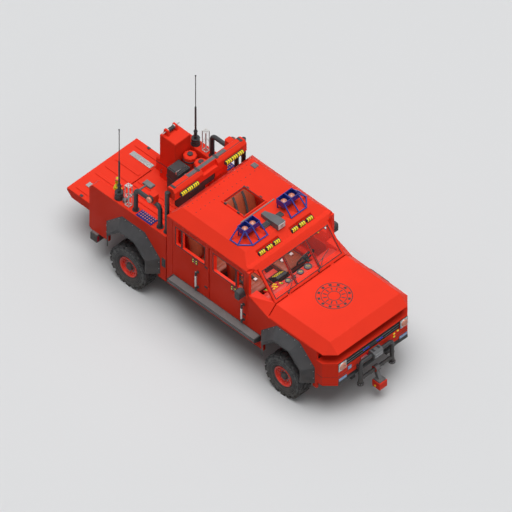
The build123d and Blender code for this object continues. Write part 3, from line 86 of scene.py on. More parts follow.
def circle(middle, radius, count, start=0.0):
    """Points spread evenly round an upright axis."""
    return [middle + Vector((math.cos(a), math.sin(a), 0)) * radius for a in turns(count, start)]


def axis_frame(axis):
    """Two directions square to an axis."""
    axis = axis.normalized()
    side = axis.cross(UP)
    if side.length < 0.1:
        side = axis.cross(FORWARD)
    side.normalize()
    return side, axis.cross(side)


def ring_profile(inner, outer, low, high, rim=0.002):
    """Profile of a flat ring with its upper edges broken."""
    top = [(outer, high - rim), (outer - rim, high), (inner + rim, high), (inner, high - rim)]
    return [(inner, low), (outer, low)] + top


def linked(name, data):
    """Object of the scene with the given data."""
    obj = bpy.data.objects.new(name, data)
    bpy.context.scene.collection.objects.link(obj)
    return obj


class Form:
    """One mesh in the making. Each method adds a closed form to it."""

    def __init__(self):
        self.bm = bmesh.new()

    def verts(self, points):
        return [self.bm.verts.new(point) for point in points]

    def block(self, corners):
        """Six faces on eight corners, given two by two by two."""
        verts = self.verts(corners)
        for face in BOX_FACES:
            self.bm.faces.new([verts[i] for i in face])

    def box(self, stations, ys, zs):
        """Box between two stations, two widths and two heights."""
        self.block([at(s, y, z) for s in stations for y in sorted(ys) for z in zs])
        return self

    def box_pair(self, stations, ys, zs):
        """The same box on the left and on the right."""
        for side in (1, -1):
            self.box(stations, [side * y for y in ys], zs)
        return self

    def prism(self, outline, step):
        """Flat outline of points, carried along a step."""
        low = self.verts(outline)
        high = self.verts([p + step for p in outline])
        self.bm.faces.new(low)
        self.bm.faces.new(reversed(high))
        for i in range(len(outline)):
            j = (i + 1) % len(outline)
            self.bm.faces.new([low[i], low[j], high[j], high[i]])
        return self

    def skin(self, rings, steps, closed):
        """Faces from each ring of points to the next, and from the last to the first if closed."""
        pairs = list(zip(rings, rings[1:]))
        if closed:
            pairs.append((rings[-1], rings[0]))
        for a, b in pairs:
            for i in range(steps):
                j = (i + 1) % steps
                quad = [a[i % len(a)], a[j % len(a)], b[j % len(b)], b[i % len(b)]]
                corners = list(dict.fromkeys(quad))
                if len(corners) > 2:
                    self.bm.faces.new(corners)

    def cap_ends(self, rings):
        self.bm.faces.new(reversed(rings[0]))
        self.bm.faces.new(rings[-1])

    def lathe(self, profile, origin, axis, steps=32):
        """Turned form: a profile of (radius, distance along the axis), closed on itself or at the axis."""
        axis = axis.normalized()
        side, up = axis_frame(axis)
        rings = []
        for radius, along in profile:
            middle = origin + axis * along
            if radius < 1e-6:
                rings.append(self.verts([middle]))
                continue
            arms = [side * math.cos(angle) + up * math.sin(angle) for angle in turns(steps)]
            rings.append(self.verts([middle + arm * radius for arm in arms]))
        self.skin(rings, steps, len(rings[0]) > 1 and len(rings[-1]) > 1)
        return self

    def band(self, inner, outer, slope, height, origin, axis, steps):
        """Ring round a bar, with sloped edges."""
        profile = [(inner, 0), (outer, slope), (outer, height - slope), (inner, height)]
        return self.lathe(profile, origin, axis, steps)

    def disc(self, centre, axis, radius, height, steps=20, dome=0.0):
        """Short round boss with a rounded rim, or a domed top."""
        rim = min(height, radius) * 0.25
        profile = [(0, 0), (radius, 0), (radius, height - rim), (radius - rim, height), (0, height + dome)]
        return self.lathe(profile, centre, axis, steps)

    def bolt(self, centre, axis, radius=0.011, height=0.008):
        """Hexagon bolt head on a washer."""
        seat = height * 0.25
        top = height * 1.15
        washer = radius * 1.35
        self.lathe([(0, 0), (washer, 0), (washer, seat), (0, seat)], centre, axis, 16)
        head = [(0, seat), (radius, seat), (radius, height), (radius * 0.8, top), (0, top)]
        return self.lathe(head, centre, axis, 6)

    def bolts(self, spots, *sizes):
        for spot in spots:
            self.bolt(spot, *sizes)
        return self

    def discs(self, spots, *sizes):
        for spot in spots:
            self.disc(spot, *sizes)
        return self

    def tube(self, points, radius, steps=12, closed=False):
        """Round bar along a path, with mitred corners and flat ends."""
        count = len(points)
        rings = []
        side = None
        for i, point in enumerate(points):
            before = points[i - 1] if i > 0 or closed else point
            after = points[(i + 1) % count] if i < count - 1 or closed else point
            into = (point - before).normalized() if (point - before).length else (after - point).normalized()
            out = (after - point).normalized() if (after - point).length else into
            along = (into + out).normalized()
            if side is None:
                side, up = axis_frame(along)
            else:
                side = (side - along * side.dot(along)).normalized()
                up = along.cross(side)
            stretch = 1 / max(0.5, along.dot(out))
            bend = out - into
            ring = []
            for angle in turns(steps):
                arm = (side * math.cos(angle) + up * math.sin(angle)) * radius
                if bend.length > 1e-4:
                    lean = bend.normalized()
                    arm += lean * arm.dot(lean) * (stretch - 1)
                ring.append(point + arm)
            rings.append(self.verts(ring))
        self.skin(rings, steps, closed)
        if not closed:
            self.cap_ends(rings)
        return self

    def strap(self, points, width, across):
        """Flat belt along a path, with its width along one direction."""
        half = across * (width / 2)
        rings = []
        for i, spot in enumerate(points):
            before = points[max(0, i - 1)]
            after = points[min(len(points) - 1, i + 1)]
            lift = (after - before).normalized().cross(across).normalized() * STRAP_LIFT
            rings.append(self.verts([spot + a * half + b * lift for a, b in SQUARE]))
        self.skin(rings, len(SQUARE), False)
        self.cap_ends(rings)
        return self

    def shell(self, columns, rows, place):
        """Pad from a grid of points on its top and bottom, joined round the rim."""
        us = [i / columns for i in range(columns + 1)]
        vs = [j / rows for j in range(rows + 1)]
        top, low = [[self.verts([place(u, v, level) for v in vs]) for u in us] for level in (1, 0)]
        for i in range(columns):
            for j in range(rows):
                self.bm.faces.new([top[i][j], top[i + 1][j], top[i + 1][j + 1], top[i][j + 1]])
                self.bm.faces.new([low[i][j], low[i][j + 1], low[i + 1][j + 1], low[i + 1][j]])
        rim = [(i, 0) for i in range(columns)] + [(columns, j) for j in range(rows)]
        rim += [(i, rows) for i in range(columns, 0, -1)] + [(0, j) for j in range(rows, 0, -1)]
        for a, b in zip(rim, rim[1:] + rim[:1]):
            self.bm.faces.new([top[b[0]][b[1]], top[a[0]][a[1]], low[a[0]][a[1]], low[b[0]][b[1]]])
        return self

    def placed(self, name, material):
        """Object of the scene from this mesh."""
        mesh = bpy.data.meshes.new(name)
        self.bm.to_mesh(mesh)
        self.bm.free()
        mesh.materials.append(material)
        return linked(name, mesh)

    def done(self, name, look, bevel=0.0, body=TRUCK, slot=None, smooth=True):
        """Finish the mesh as a piece that rides on a body."""
        bmesh.ops.recalc_face_normals(self.bm, faces=self.bm.faces)
        obj = self.placed(name, LOOKS[look])
        if smooth:
            obj.data.polygons.foreach_set("use_smooth", [True] * len(obj.data.polygons))
            obj.data.set_sharp_from_angle(angle=SHARP_ANGLE)
        if bevel:
            edge = obj.modifiers.new("edge", "BEVEL")
            edge.width = bevel
            edge.segments = 2
            edge.limit_method = "ANGLE"
        slot = slot or SLOTS.get(look, look)
        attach(obj, body)
        return obj


# Materials

def linear(*rgb):
    """Colour from 0 to 255 as the shader's linear values."""
    shares = [channel / 255 for channel in rgb]
    return [s / 12.92 if s <= 0.04045 else ((s + 0.055) / 1.055) ** 2.4 for s in shares] + [1.0]


def shade(color, factor):
    return [min(1.0, channel * factor) for channel in color[:3]] + [1.0]


class Finish:
    """One procedural material, built up socket by socket."""

    def __init__(self, name, color, roughness, metallic=0.0):
        self.material = bpy.data.materials.new(name)
        self.material.use_nodes = True
        self.material.diffuse_color = color
        self.tree = self.material.node_tree
        self.shader = self.tree.nodes["Principled BSDF"]
        self.set("Metallic", metallic)
        self.coords = self.node("TexCoord").outputs["Object"]
        self.color = color
        self.tint = color
        self.roughness = roughness
        self.normal_socket = None

    def feed(self, socket, value):
        """Set a socket to a value, or join it to another node's output."""
        if isinstance(value, bpy.types.NodeSocket):
            self.tree.links.new(value, socket)
        else:
            socket.default_value = value

    def node(self, kind, sockets=None, **settings):
        node = self.tree.nodes.new("ShaderNode" + kind)
        for name, value in settings.items():
            setattr(node, name, value)
        for key, value in (sockets or {}).items():
            self.feed(node.inputs[key], value)
        return node

    def set(self, name, value):
        self.shader.inputs[name].default_value = value
        return self

    def noise(self, scale, detail=4.0, stretch=None):
        source = self.coords
        if stretch:
            source = self.node("Mapping", {"Scale": stretch, "Vector": source}).outputs["Vector"]
        return self.node("TexNoise", {"Scale": scale, "Detail": detail, "Vector": source}).outputs["Fac"]

    def spread(self, source, low, high, start=0.3, end=0.7):
        sockets = {"From Min": start, "From Max": end, "To Min": low, "To Max": high, "Value": source}
        return self.node("MapRange", sockets).outputs["Result"]

    def times(self, a, b):
        return self.node("Math", {0: a, 1: b}, operation="MULTIPLY").outputs["Value"]

    def mix(self, factor, color):
        """Lay another colour over what is there, by a factor."""
        node = self.node("Mix", data_type="RGBA")
        self.feed(node.inputs["Factor"], factor)
        self.feed(node.inputs[6], self.tint)
        self.feed(node.inputs[7], color)
        self.tint = node.outputs[2]
        return self

    def cloud(self, scale, darker):
        """Slow change of tone over the surface, with matching gloss."""
        source = self.noise(scale)
        self.mix(self.spread(source, 0.0, 1.0), shade(self.color, darker))
        gloss = self.spread(source, self.roughness * 0.85, min(1.0, self.roughness * 1.2))
        self.feed(self.shader.inputs["Roughness"], gloss)
        return self

    def worn_edges(self, color, radius, amount):
        """Rubbed edges, broken up by noise."""
        bevel = self.node("Bevel", {"Radius": radius}, samples=4).outputs["Normal"]
        flat = self.node("NewGeometry").outputs["Normal"]
        dot = self.node("VectorMath", {0: bevel, 1: flat}, operation="DOT_PRODUCT").outputs["Value"]
        edge = self.spread(dot, amount, 0.0, 0.72, 0.97)
        return self.mix(self.times(edge, self.spread(self.noise(38.0), 0.0, 1.0, 0.42, 0.6)), color)

    def dust(self, low, high, amount):
        """Road dust that thins out with height."""
        height = self.node("SeparateXYZ", {"Vector": self.coords}).outputs["Z"]
        fade = self.spread(height, amount, 0.0, low, high)
        return self.mix(self.times(fade, self.spread(self.noise(9.0, 8.0), 0.1, 1.0)), DUST)

    def soft_edges(self, radius):
        self.normal_socket = self.node("Bevel", {"Radius": radius}, samples=4).outputs["Normal"]
        return self

    def grain(self, scale, strength, distance, stretch=None):
        """Fine relief over the rounded edge normal."""
        sockets = {"Strength": strength, "Distance": distance, "Height": self.noise(scale, 6.0, stretch)}
        if self.normal_socket:
            sockets["Normal"] = self.normal_socket
        self.normal_socket = self.node("Bump", sockets).outputs["Normal"]
        return self

    def matte(self, level):
        return self.set("Specular IOR Level", level)

    def coat(self, weight, roughness):
        return self.set("Coat Weight", weight).set("Coat Roughness", roughness)

    def done(self):
        self.feed(self.shader.inputs["Base Color"], self.tint)
        if not self.shader.inputs["Roughness"].is_linked:
            self.set("Roughness", self.roughness)
        if self.normal_socket:
            self.feed(self.shader.inputs["Normal"], self.normal_socket)
        return self.material


DUST = linear(150, 128, 104)
BARE = linear(165, 160, 155)


def red_paint(name, color):
    finish = Finish(name, color, 0.5).cloud(1.3, 0.93).worn_edges(linear(255, 104, 76), 0.008, 0.3)
    return finish.dust(0.45, 1.05, 0.07).soft_edges(0.006).grain(420, 0.04, 0.0004).matte(0.12).done()


def gloss_paint(name, color, scale, darker, worn, reach, gloss):
    finish = Finish(name, color, 0.35).cloud(scale, darker).worn_edges(worn, reach, 0.5)
    return finish.soft_edges(reach - 0.001).grain(300, 0.06, 0.0004).coat(0.3, gloss).done()


def plain_panel(name, color):
    return Finish(name, color, 0.4).cloud(14.0, 0.75).soft_edges(0.003).grain(400, 0.1, 0.0004).done()


def dark_paint(name, color, roughness):
    finish = Finish(name, color, roughness).cloud(4.0, 0.8).worn_edges(BARE, 0.005, 0.25)
    return finish.dust(0.2, 1.1, 0.14).soft_edges(0.004).grain(240, 0.08, 0.0006).done()


def moulded_plastic(name, color, roughness=0.62):
    finish = Finish(name, color, roughness).cloud(5.0, 0.82).worn_edges(shade(color, 2.4), 0.006, 0.35)
    return finish.dust(0.3, 1.2, 0.16).soft_edges(0.005).grain(650, 0.25, 0.0006).done()


def tyre_rubber(name, color):
    finish = Finish(name, color, 0.82).cloud(7.0, 0.8).worn_edges(linear(122, 121, 118), 0.008, 0.5)
    return finish.dust(0.0, 0.55, 0.2).soft_edges(0.004).grain(320, 0.3, 0.0008).done()


def bare_metal(name, color, roughness):
    finish = Finish(name, color, roughness, 0.85).cloud(9.0, 0.8)
    return finish.soft_edges(0.003).grain(180, 0.12, 0.0004, (1, 1, 12)).done()


def lens(name, color, glow):
    finish = Finish(name, color, 0.16).cloud(22.0, 0.82).soft_edges(0.004).coat(0.6, 0.05)
    return finish.set("Emission Color", color).set("Emission Strength", glow).done()


def clear_glass(name, color):
    finish = Finish(name, color, 0.03)
    finish.mix(finish.spread(finish.noise(2.0), 0.0, 1.0), linear(100, 130, 134))
    return finish.set("Alpha", 0.035).matte(0.15).done()


def leather(name, color):
    finish = Finish(name, color, 0.5).cloud(6.0, 0.78).worn_edges(linear(184, 104, 74), 0.012, 0.4)
    return finish.soft_edges(0.004).grain(900, 0.35, 0.0007).done()


def webbing(name, color):
    return Finish(name, color, 0.85).cloud(12.0, 0.8).grain(1500, 0.5, 0.0006, (1, 6, 1)).done()


LOOK_TABLE = [  # name, maker, colour, then the maker's own values
    ("red_paint", red_paint, (244, 58, 36)),
    ("red_rim", gloss_paint, (246, 62, 42), 8.0, 0.85, BARE, 0.005, 0.12),
    ("blue_paint", gloss_paint, (24, 48, 150), 9.0, 0.8, linear(96, 116, 190), 0.004, 0.1),
    ("navy_panel", plain_panel, (16, 18, 128)),
    ("dark_plastic", moulded_plastic, (62, 62, 64)),
    ("grille_black", moulded_plastic, (22, 22, 24)),
    ("cab_plastic", moulded_plastic, (214, 52, 36), 0.5),
    ("wheel_black", moulded_plastic, (34, 34, 36), 0.5),
    ("black_paint", dark_paint, (48, 49, 51), 0.45),
    ("grey_metal", dark_paint, (104, 104, 106), 0.48),
    ("chassis_black", dark_paint, (46, 46, 48), 0.65),
    ("step_grey", dark_paint, (132, 132, 132), 0.5),
    ("white_paint", dark_paint, (226, 226, 224), 0.45),
    ("yellow_paint", dark_paint, (226, 206, 24), 0.4),
    ("cast_metal", bare_metal, (120, 120, 122), 0.55),
    ("silver", bare_metal, (206, 206, 204), 0.28),
    ("steel", bare_metal, (150, 150, 152), 0.36),
    ("lens_warm", lens, (224, 140, 112), 0.05),
    ("lens_yellow", lens, (230, 214, 20), 0.25),
    ("lens_blue", lens, (24, 40, 220), 0.3),
    ("lens_pale", lens, (130, 160, 205), 0.05),
    ("lens_red", lens, (172, 4, 40), 0.08),
    ("lens_amber", lens, (232, 120, 30), 0.12),
    ("lens_green", lens, (40, 200, 70), 0.1),
    ("tyre_rubber", tyre_rubber, (72, 72, 73)),
    ("tread_rubber", tyre_rubber, (104, 104, 104)),
    ("screen_glass", clear_glass, (120, 146, 150)),
    ("seat_leather", leather, (154, 74, 46)),
    ("webbing", webbing, (54, 56, 58)),
]
LOOKS = {name: maker(name, linear(*rgb), *values) for name, maker, rgb, *values in LOOK_TABLE}

for row in frame["record"]["subparts"]:
    node = frame["nodes"][row["node"]]
    node.data.materials.clear()
    node.data.materials.append(LOOKS[row["material_slot"]])
frame["nodes"]["grille"].data.materials[0] = LOOKS["grille_black"]


# Wheels: sidewall ribs, tie bars in the tread, rim rings, hub caps and nuts
TYRE_FACE = 0.140         # outer face of the tyre, from the middle of the tread
RIM_FACE = 0.060
LUG_COUNT = 18
SHOULDER_ROW = 0.095      # middle of the shoulder lugs, across the tread


def dress_wheel(corner, side):
    body = "wheel_" + corner
    hub = JOINTS[body]
    out = LEFT * side

    def spot(radius, angle, along):
        return hub + Vector((math.cos(angle) * radius, 0, math.sin(angle) * radius)) + out * along

    def add_block(form, angle, radii, half_angle, alongs):
        """Small block between two radii, round an angle."""
        angles = near(angle, half_angle)
        form.block([spot(radius, turn, along) for radius in radii for turn in angles for along in alongs])

    rubber = Form()
    for inner, outer in ((0.262, 0.270), (0.284, 0.289), (0.316, 0.326)):
        rubber.lathe(ring_profile(inner, outer, TYRE_FACE - 0.003, TYRE_FACE + 0.004), hub, out, 72)
    for angle in turns(LUG_COUNT):
        lug = angle - math.pi / 2
        gap = lug + math.pi / LUG_COUNT
        add_block(rubber, lug, (0.338, 0.392), 0.085, (0.124, 0.138))
        add_block(rubber, gap, (0.346, 0.384), 0.05, (0.124, 0.135))
        for row in (-SHOULDER_ROW, SHOULDER_ROW):
            add_block(rubber, gap, (0.405, 0.4235), 0.075, near(row, 0.014))
    rubber.done("tread_" + corner, "tread_rubber", 0.002, body)

    red = Form().lathe(ring_profile(0.186, 0.2065, 0.112, 0.127, 0.004), hub, out, 56)
    red.lathe(ring_profile(0.128, 0.146, RIM_FACE - 0.006, RIM_FACE + 0.018, 0.004), hub, out, 48)
    for angle in turns(8, 0.5):
        add_block(red, angle, (0.118, 0.186), 0.07, (RIM_FACE - 0.004, RIM_FACE + 0.024))
    red.done("rim_rings_" + corner, "red_rim", 0.002, body)

    dome = [(0.082, 0.066), (0.082, 0.076), (0.070, 0.084), (0.062, 0.112), (0.052, 0.119)]
    cap = Form().lathe([(0, 0.052)] + dome + [(0, 0.121)], hub, out, 32)
    cap.bolts([spot(0.035, angle, 0.118) for angle in turns(6)], out, 0.006, 0.006)
    cap.done("hub_cap_" + corner, "dark_plastic", body=body)

    nuts = Form().bolts([spot(0.103, angle, 0.062) for angle in turns(8)], out, 0.011, 0.022)
    stem = spot(0.170, 0.4, 0.075)
    nuts.tube([stem, stem + out * 0.032], 0.005, 10)
    nuts.done("wheel_nuts_" + corner, "steel", body=body, slot="cast_metal")


for end in ("front", "rear"):
    for name, side in SIDES:
        dress_wheel(end + "_" + name, side)


# Front end
LAMP_Y = 0.752
LAMP_Z = 1.140
GRILLE_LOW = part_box("grille")[0].z
BAR_PITCH = 0.0297        # from one grille bar to the next
BULL_BAR = -0.085         # station of the bull bar's uprights and cross bar
UPRIGHT_Y = 0.386
CROSS_BAR_Z = 0.617
FASCIA_LAMPS = [  # y, z, width, height, station of the face
    (-0.57, 0.98, 0.085, 0.070, 0), (0.676, 1.085, 0.030, 0.050, -0.012),
    (0.74, 0.83, 0.187, 0.060, 0), (-0.74, 0.83, 0.187, 0.060, 0)]
SEAM_CORNER = [  # station, y
    (-0.002, 0.848), (0.197, 1.047), (0.330, 1.047), (0.330, 1.040), (0.199, 1.040), (0.004, 0.844)]


def dress_head_lamps():
    chrome, ribs, spots, screws = Form(), Form(), Form(), Form()
    trim = [(0.0745, 0), (0.090, 0), (0.090, 0.010), (0.082, 0.017), (0.0745, 0.013)]
    for side in (1, -1):
        y = side * LAMP_Y
        chrome.lathe(trim, at(-0.012, y, LAMP_Z), FORWARD, 40)
        for shift in [k * 0.016 for k in range(-3, 4)]:
            reach = math.sqrt(0.050 ** 2 - shift ** 2) if abs(shift) < 0.05 else 0.012
            ribs.box((-0.0485, -0.044), near(y + shift, 0.0025), near(LAMP_Z, reach))
        spots.disc(at(-0.045, side * (LAMP_Y - 0.022), LAMP_Z - 0.022), FORWARD, 0.012, 0.006, 16, 0.002)
        for low, high in ((-0.092, -0.078), (0.078, 0.092)):
            chrome.box((-0.018, -0.010), near(y, 0.092), (LAMP_Z + low, LAMP_Z + high))
            chrome.box((-0.018, -0.010), (y + low, y + high), near(LAMP_Z, 0.08))
        for a, b in ((-1, -1), (-1, 1), (1, -1), (1, 1)):
            gusset = ((0.085, 0.085), (0.042, 0.085), (0.085, 0.042))
            chrome.prism([at(-0.010, y + a * dy, LAMP_Z + b * dz) for dy, dz in gusset], FORWARD * 0.006)
            screws.bolt(at(-0.016, y + a * 0.076, LAMP_Z + b * 0.076), FORWARD, 0.006, 0.005)
    chrome.done("lamp_trims", "silver")
    ribs.done("lamp_ribs", "lens_warm", 0.001)
    spots.done("lamp_spots", "lens_amber")
    screws.done("bezel_screws", "steel")


def dress_grille():
    lines = Form()
    for i in (2, 4):
        lines.box((-0.002, 0.004), (-0.63, 0.63), near(GRILLE_LOW + 0.006 + BAR_PITCH * i, 0.0028))
    lines.done("grille_lines", "steel", 0.001)
    strips = Form()
    for side in (1, -1):
        for k in range(3):
            strips.box((-0.007, 0.004), near(side * (0.112 + 0.052 * k), 0.021), (1.131, 1.155))
    strips.done("grille_strips", "lens_blue", 0.002)
    plates = Form().box_pair((-0.004, 0.006), (0.082, 0.245), (1.126, 1.160))
    plates.box((-0.006, 0.006), (-0.075, 0.075), (1.108, 1.178)).done("grille_plates", "dark_plastic", 0.003)
    slats = Form()
    for z in (0.748, 0.768, 0.788, 0.806):
        slats.box((0.004, 0.044), (-0.642, 0.642), near(z, 0.004))
    for y in (-0.42, -0.14, 0.14, 0.42):
        slats.box((0.012, 0.042), near(y, 0.006), (0.734, 0.816))
    slats.box_pair((-0.008, 0.002), (0.638, 0.846), (0.716, 0.786))
    for z in (0.735, 0.760):
        slats.box_pair((-0.013, 0.0), (0.638, 0.846), near(z, 0.005))
    slats.tube([at(0.012, -0.846, 0.724), at(0.012, 0.846, 0.724)], 0.020)
    slats.done("intake_slats", "black_paint", 0.001)


def dress_fascia():
    pale, frames = Form(), Form()
    for y, z, width, height, face in FASCIA_LAMPS:
        pale.box((face - 0.012, face + 0.002), near(y, width / 2), near(z, height / 2))
        frames.box((face - 0.005, face + 0.001), near(y, width / 2 + 0.007), near(z, height / 2 + 0.007))
    pale.done("fascia_lamps", "lens_pale", 0.003)
    frames.done("fascia_lamp_frames", "black_paint", 0.002)
    markers = Form()
    for y, z in ((0.607, 1.036), (0.519, 1.018), (0.519, 0.949)):
        markers.box((-0.010, 0.002), near(y, 0.022), near(z, 0.013))
    markers.done("fascia_markers", "lens_yellow", 0.003)
    Form().box((-0.011, 0.002), (-0.300, -0.116), (0.962, 1.012)).done("fascia_reflector", "lens_red", 0.003)
    seams = Form().box((-0.0025, 0.004), (-0.852, 0.852), (0.912, 0.918))
    for side in (1, -1):
        seams.prism([at(station, side * y, 0.912) for station, y in SEAM_CORNER], UP * 0.006)
    seams.done("bumper_seam", "chassis_black")


def dress_bull_bar():
    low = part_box("bull_bar")[0].z
    bolts, bands = Form(), Form()
    for side in (1, -1):
        foot = at(BULL_BAR, side * UPRIGHT_Y, low)
        bolts.bolts(circle(foot + UP * 0.045, 0.051, 8, 0.5), UP, 0.007, 0.007)
        for height in (0.10, 0.27, 0.40):
            bands.band(0.0375, 0.043, 0.002, 0.020, foot + UP * height, UP, 28)
        for y in (0.14, 0.30):
            bands.band(0.032, 0.038, 0.003, 0.025, at(BULL_BAR, side * y, CROSS_BAR_Z), LEFT * side, 28)
        bolts.bolts([at(-0.042, side * 0.400, z) for z in (0.852, 0.888)], LEFT * side, 0.009, 0.008)
    bolts.done("bull_bar_bolts", "steel")
    bands.done("bull_bar_bands", "dark_plastic")


def dress_winch():
    plate = (-0.158, -0.149)
    fairlead = Form().box(plate, (-0.092, 0.092), (0.948, 0.962)).box(plate, (-0.092, 0.092), (1.020, 1.034))
    fairlead.box_pair(plate, (0.072, 0.092), (0.955, 1.028))
    for z in (0.975, 1.008):
        fairlead.tube([at(-0.156, -0.070, z), at(-0.156, 0.070, z)], 0.009, 14)
    spots = [at(-0.158, y, z) for y in (-0.082, 0.082) for z in (0.955, 1.027)]
    fairlead.bolts(spots, FORWARD, 0.006, 0.005)
    fairlead.done("winch_fairlead", "steel", 0.002)
    mouth = Form().box((-0.152, -0.147), (-0.072, 0.072), (0.962, 1.020))
    mouth.box_pair((-0.110, -0.040), (0.038, 0.082), (1.0745, 1.080))
    mouth.done("winch_mouth", "chassis_black", 0.001)


def dress_hook():
    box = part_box("hook_block")
    x = box[1].x - 0.092
    grey = Form().box(near(FASCIA_X - x, 0.0768), (-0.0768, 0.0768), (0.374, 0.4175))
    hanger = ((-0.1225, 0.575), (-0.0625, 0.575), (-0.1205, 0.375), (-0.2155, 0.375))
    grey.prism([at(station, -0.0345, z) for station, z in hanger], LEFT * 0.069)
    grey.band(0.0585, 0.0625, 0.002, 0.088, at(BULL_BAR, -0.044, CROSS_BAR_Z), LEFT, 32)
    for y in (-0.048, 0.040):
        grey.band(0.058, 0.066, 0.001, 0.008, at(BULL_BAR, y, CROSS_BAR_Z), LEFT, 28)
    grey.done("hook_grey", "grey_metal", 0.001)
    dots = Form()
    for side in (1, -1):
        dots.disc(Vector((x - 0.02, side * 0.0915, 0.285)), LEFT * side, 0.020, 0.005)
    for dx in (-0.030, 0.030):
        for dy in (-0.030, 0.030):
            dots.disc(Vector((x + dx, dy, box[0].z + 0.001)), -UP, 0.010, 0.004, 14)
    dots.done("hook_dots", "lens_yellow")


def dress_hood():
    """A plain design of rings and blocks on the lid."""
    design = Form()
    centre = at(0.945, 0.0, DECK_Z - 0.001)
    for inner, outer in ((0.312, 0.326), (0.222, 0.234), (0.105, 0.117)):
        design.lathe(ring_profile(inner, outer, 0, 0.004, 0.001), centre, UP, 72)
    for angle in turns(12):
        arm = Vector((math.cos(angle), math.sin(angle), 0))
        cross = Vector((-arm.y, arm.x, 0))
        for radius, length, width in ((0.273, 0.044, 0.052), (0.168, 0.070, 0.018)):
            middle = centre + arm * radius
            outline = [middle + arm * (a * length / 2) + cross * (b * width / 2) for a, b in SQUARE]
            design.prism(outline, UP * 0.004)
    design.done("hood_design", "black_paint", body="hood")


dress_head_lamps()
dress_grille()
dress_fascia()
dress_bull_bar()
dress_winch()
dress_hook()
dress_hood()


# Screen and roof
SCREEN_RAKE = 0.794
COWL = 1.530              # station of the screen's foot
FLOOD = 2.5585            # station of the flood lamps on the roof
MODULE_WIDTH = 0.140
MODULE_HEIGHT = 0.066
MODULE_ROWS = [  # front, z, inner y, outer y
    (2.108, 2.244, 0.128, 0.672), (3.909, 2.500, 0.330, 0.760)]


def on_screen(y, rise, lift):
    """Point that is lifted off the outer face of the windshield, at a rise over its foot."""
    return at(COWL + rise * SCREEN_RAKE - lift, y, DECK_Z + rise)


def dress_screen():
    seals = Form()
    for y0, y1 in ((-0.800, -0.291), (-0.269, 0.269), (0.291, 0.800)):
        corners = ((y0, 0.045), (y1, 0.045), (y1, 0.483), (y0, 0.483))
        seals.tube([on_screen(y, rise, 0.001) for y, rise in corners], 0.007, 8, True)
    seals.done("screen_seals", "chassis_black")
    wipers = Form()
    for y in (-0.52, 0.22):
        pivot = on_screen(y, 0.022, 0.004)
        tip = on_screen(y + 0.20, 0.16, 0.024)
        wipers.disc(pivot, Vector((0.78, 0, 0.62)), 0.016, 0.020, 18)
        wipers.tube([pivot + Vector((0.012, 0, 0.010)), on_screen(y + 0.06, 0.07, 0.028), tip], 0.006, 8)
        wipers.tube([on_screen(y + 0.02, 0.115, 0.014), tip, on_screen(y + 0.38, 0.205, 0.014)], 0.006, 8)
    wipers.done("wipers", "black_paint")


def dress_lamp_modules():
    housings, cells = Form(), Form()
    half = MODULE_WIDTH / 2
    bars = (0.006 - half, half - 0.006, -MODULE_WIDTH / 6, MODULE_WIDTH / 6)
    for front, z, inner, outer in MODULE_ROWS:
        top = z + MODULE_HEIGHT
        lip = (top - 0.002, top + 0.003)
        for y in [side * (inner + (outer - inner) * (i + 0.5) / 3) for i in range(3) for side in (1, -1)]:
            for edge in bars:
                housings.box((front - 0.004, front + 0.020), near(y + edge, 0.006), (z, top))
                housings.box((front - 0.0032, front + 0.0571), near(y + edge, 0.0052), lip)
            housings.box((front - 0.0045, front + 0.0205), near(y, half + 0.0005), (z - 0.0005, z + 0.010))
            housings.box((front + 0.040, front + 0.058), near(y, half + 0.001), (top - 0.004, top + 0.003))
            for end in near(y, half):
                housings.box((front - 0.002, front + 0.058), near(end, 0.002), (z - 0.001, top - 0.001))
            spots = [at(front + 0.001, y + k * MODULE_WIDTH / 3, z + MODULE_HEIGHT / 2) for k in (-1, 0, 1)]
            cells.discs(spots, FORWARD, 0.017, 0.008, 16, 0.003)
    housings.done("module_housings", "dark_plastic", 0.001)
    cells.done("module_cells", "lens_yellow")


def dress_guards():
    rings, marks = Form(), Form()
    rim = [(0.0575, 0), (0.068, 0), (0.068, 0.018), (0.062, 0.026), (0.0575, 0.024)]
    for y in (0.383, 0.572, -0.383, -0.572):
        spot = at(FLOOD, y, 2.510)
        rings.lathe(rim, spot, UP, 32)
        rings.bolts(circle(spot, 0.076, 4, 0.5), UP, 0.005, 0.005)
        for k in (-1, 0, 1):
            marks.box(near(FLOOD, 0.03), near(y + k * 0.016, 0.002), (2.578, 2.5885 - abs(k) * 0.002))
    rings.done("flood_rings", "blue_paint")
    marks.done("flood_ribs", "lens_warm", 0.0008)


def dress_roof():
    spots = [at(station, -0.77 + 0.11 * k, ROOF_Z - 0.001) for station in (3.55, 3.75) for k in range(15)]
    Form().discs(spots, UP, 0.008, 0.005, 14, 0.002).done("roof_rivets", "chassis_black")
    vent = Form().box((3.585, 3.695), (0.700, 0.800), (ROOF_Z - 0.001, ROOF_Z + 0.020))
    for station in [3.592 + 0.026 * k for k in range(4)]:
        vent.box((station, station + 0.012), (0.707, 0.793), (ROOF_Z + 0.018, ROOF_Z + 0.030))
    vent.box((2.812, 2.834), (-0.41, 0.41), (ROOF_Z - 0.001, ROOF_Z + 0.012))
    vent.done("roof_vent", "step_grey", 0.003)
    rim = ((2.884, -0.261), (2.884, 0.261), (3.406, 0.261), (3.406, -0.261))
    hatch = Form().tube([at(station, y, 2.404) for station, y in rim], 0.0135, 10, True)
    for station in (2.98, 3.30):
        hatch.box_pair((station, station + 0.06), (0.262, 0.284), (2.380, 2.423))
    hatch.done("hatch_seal", "dark_plastic")


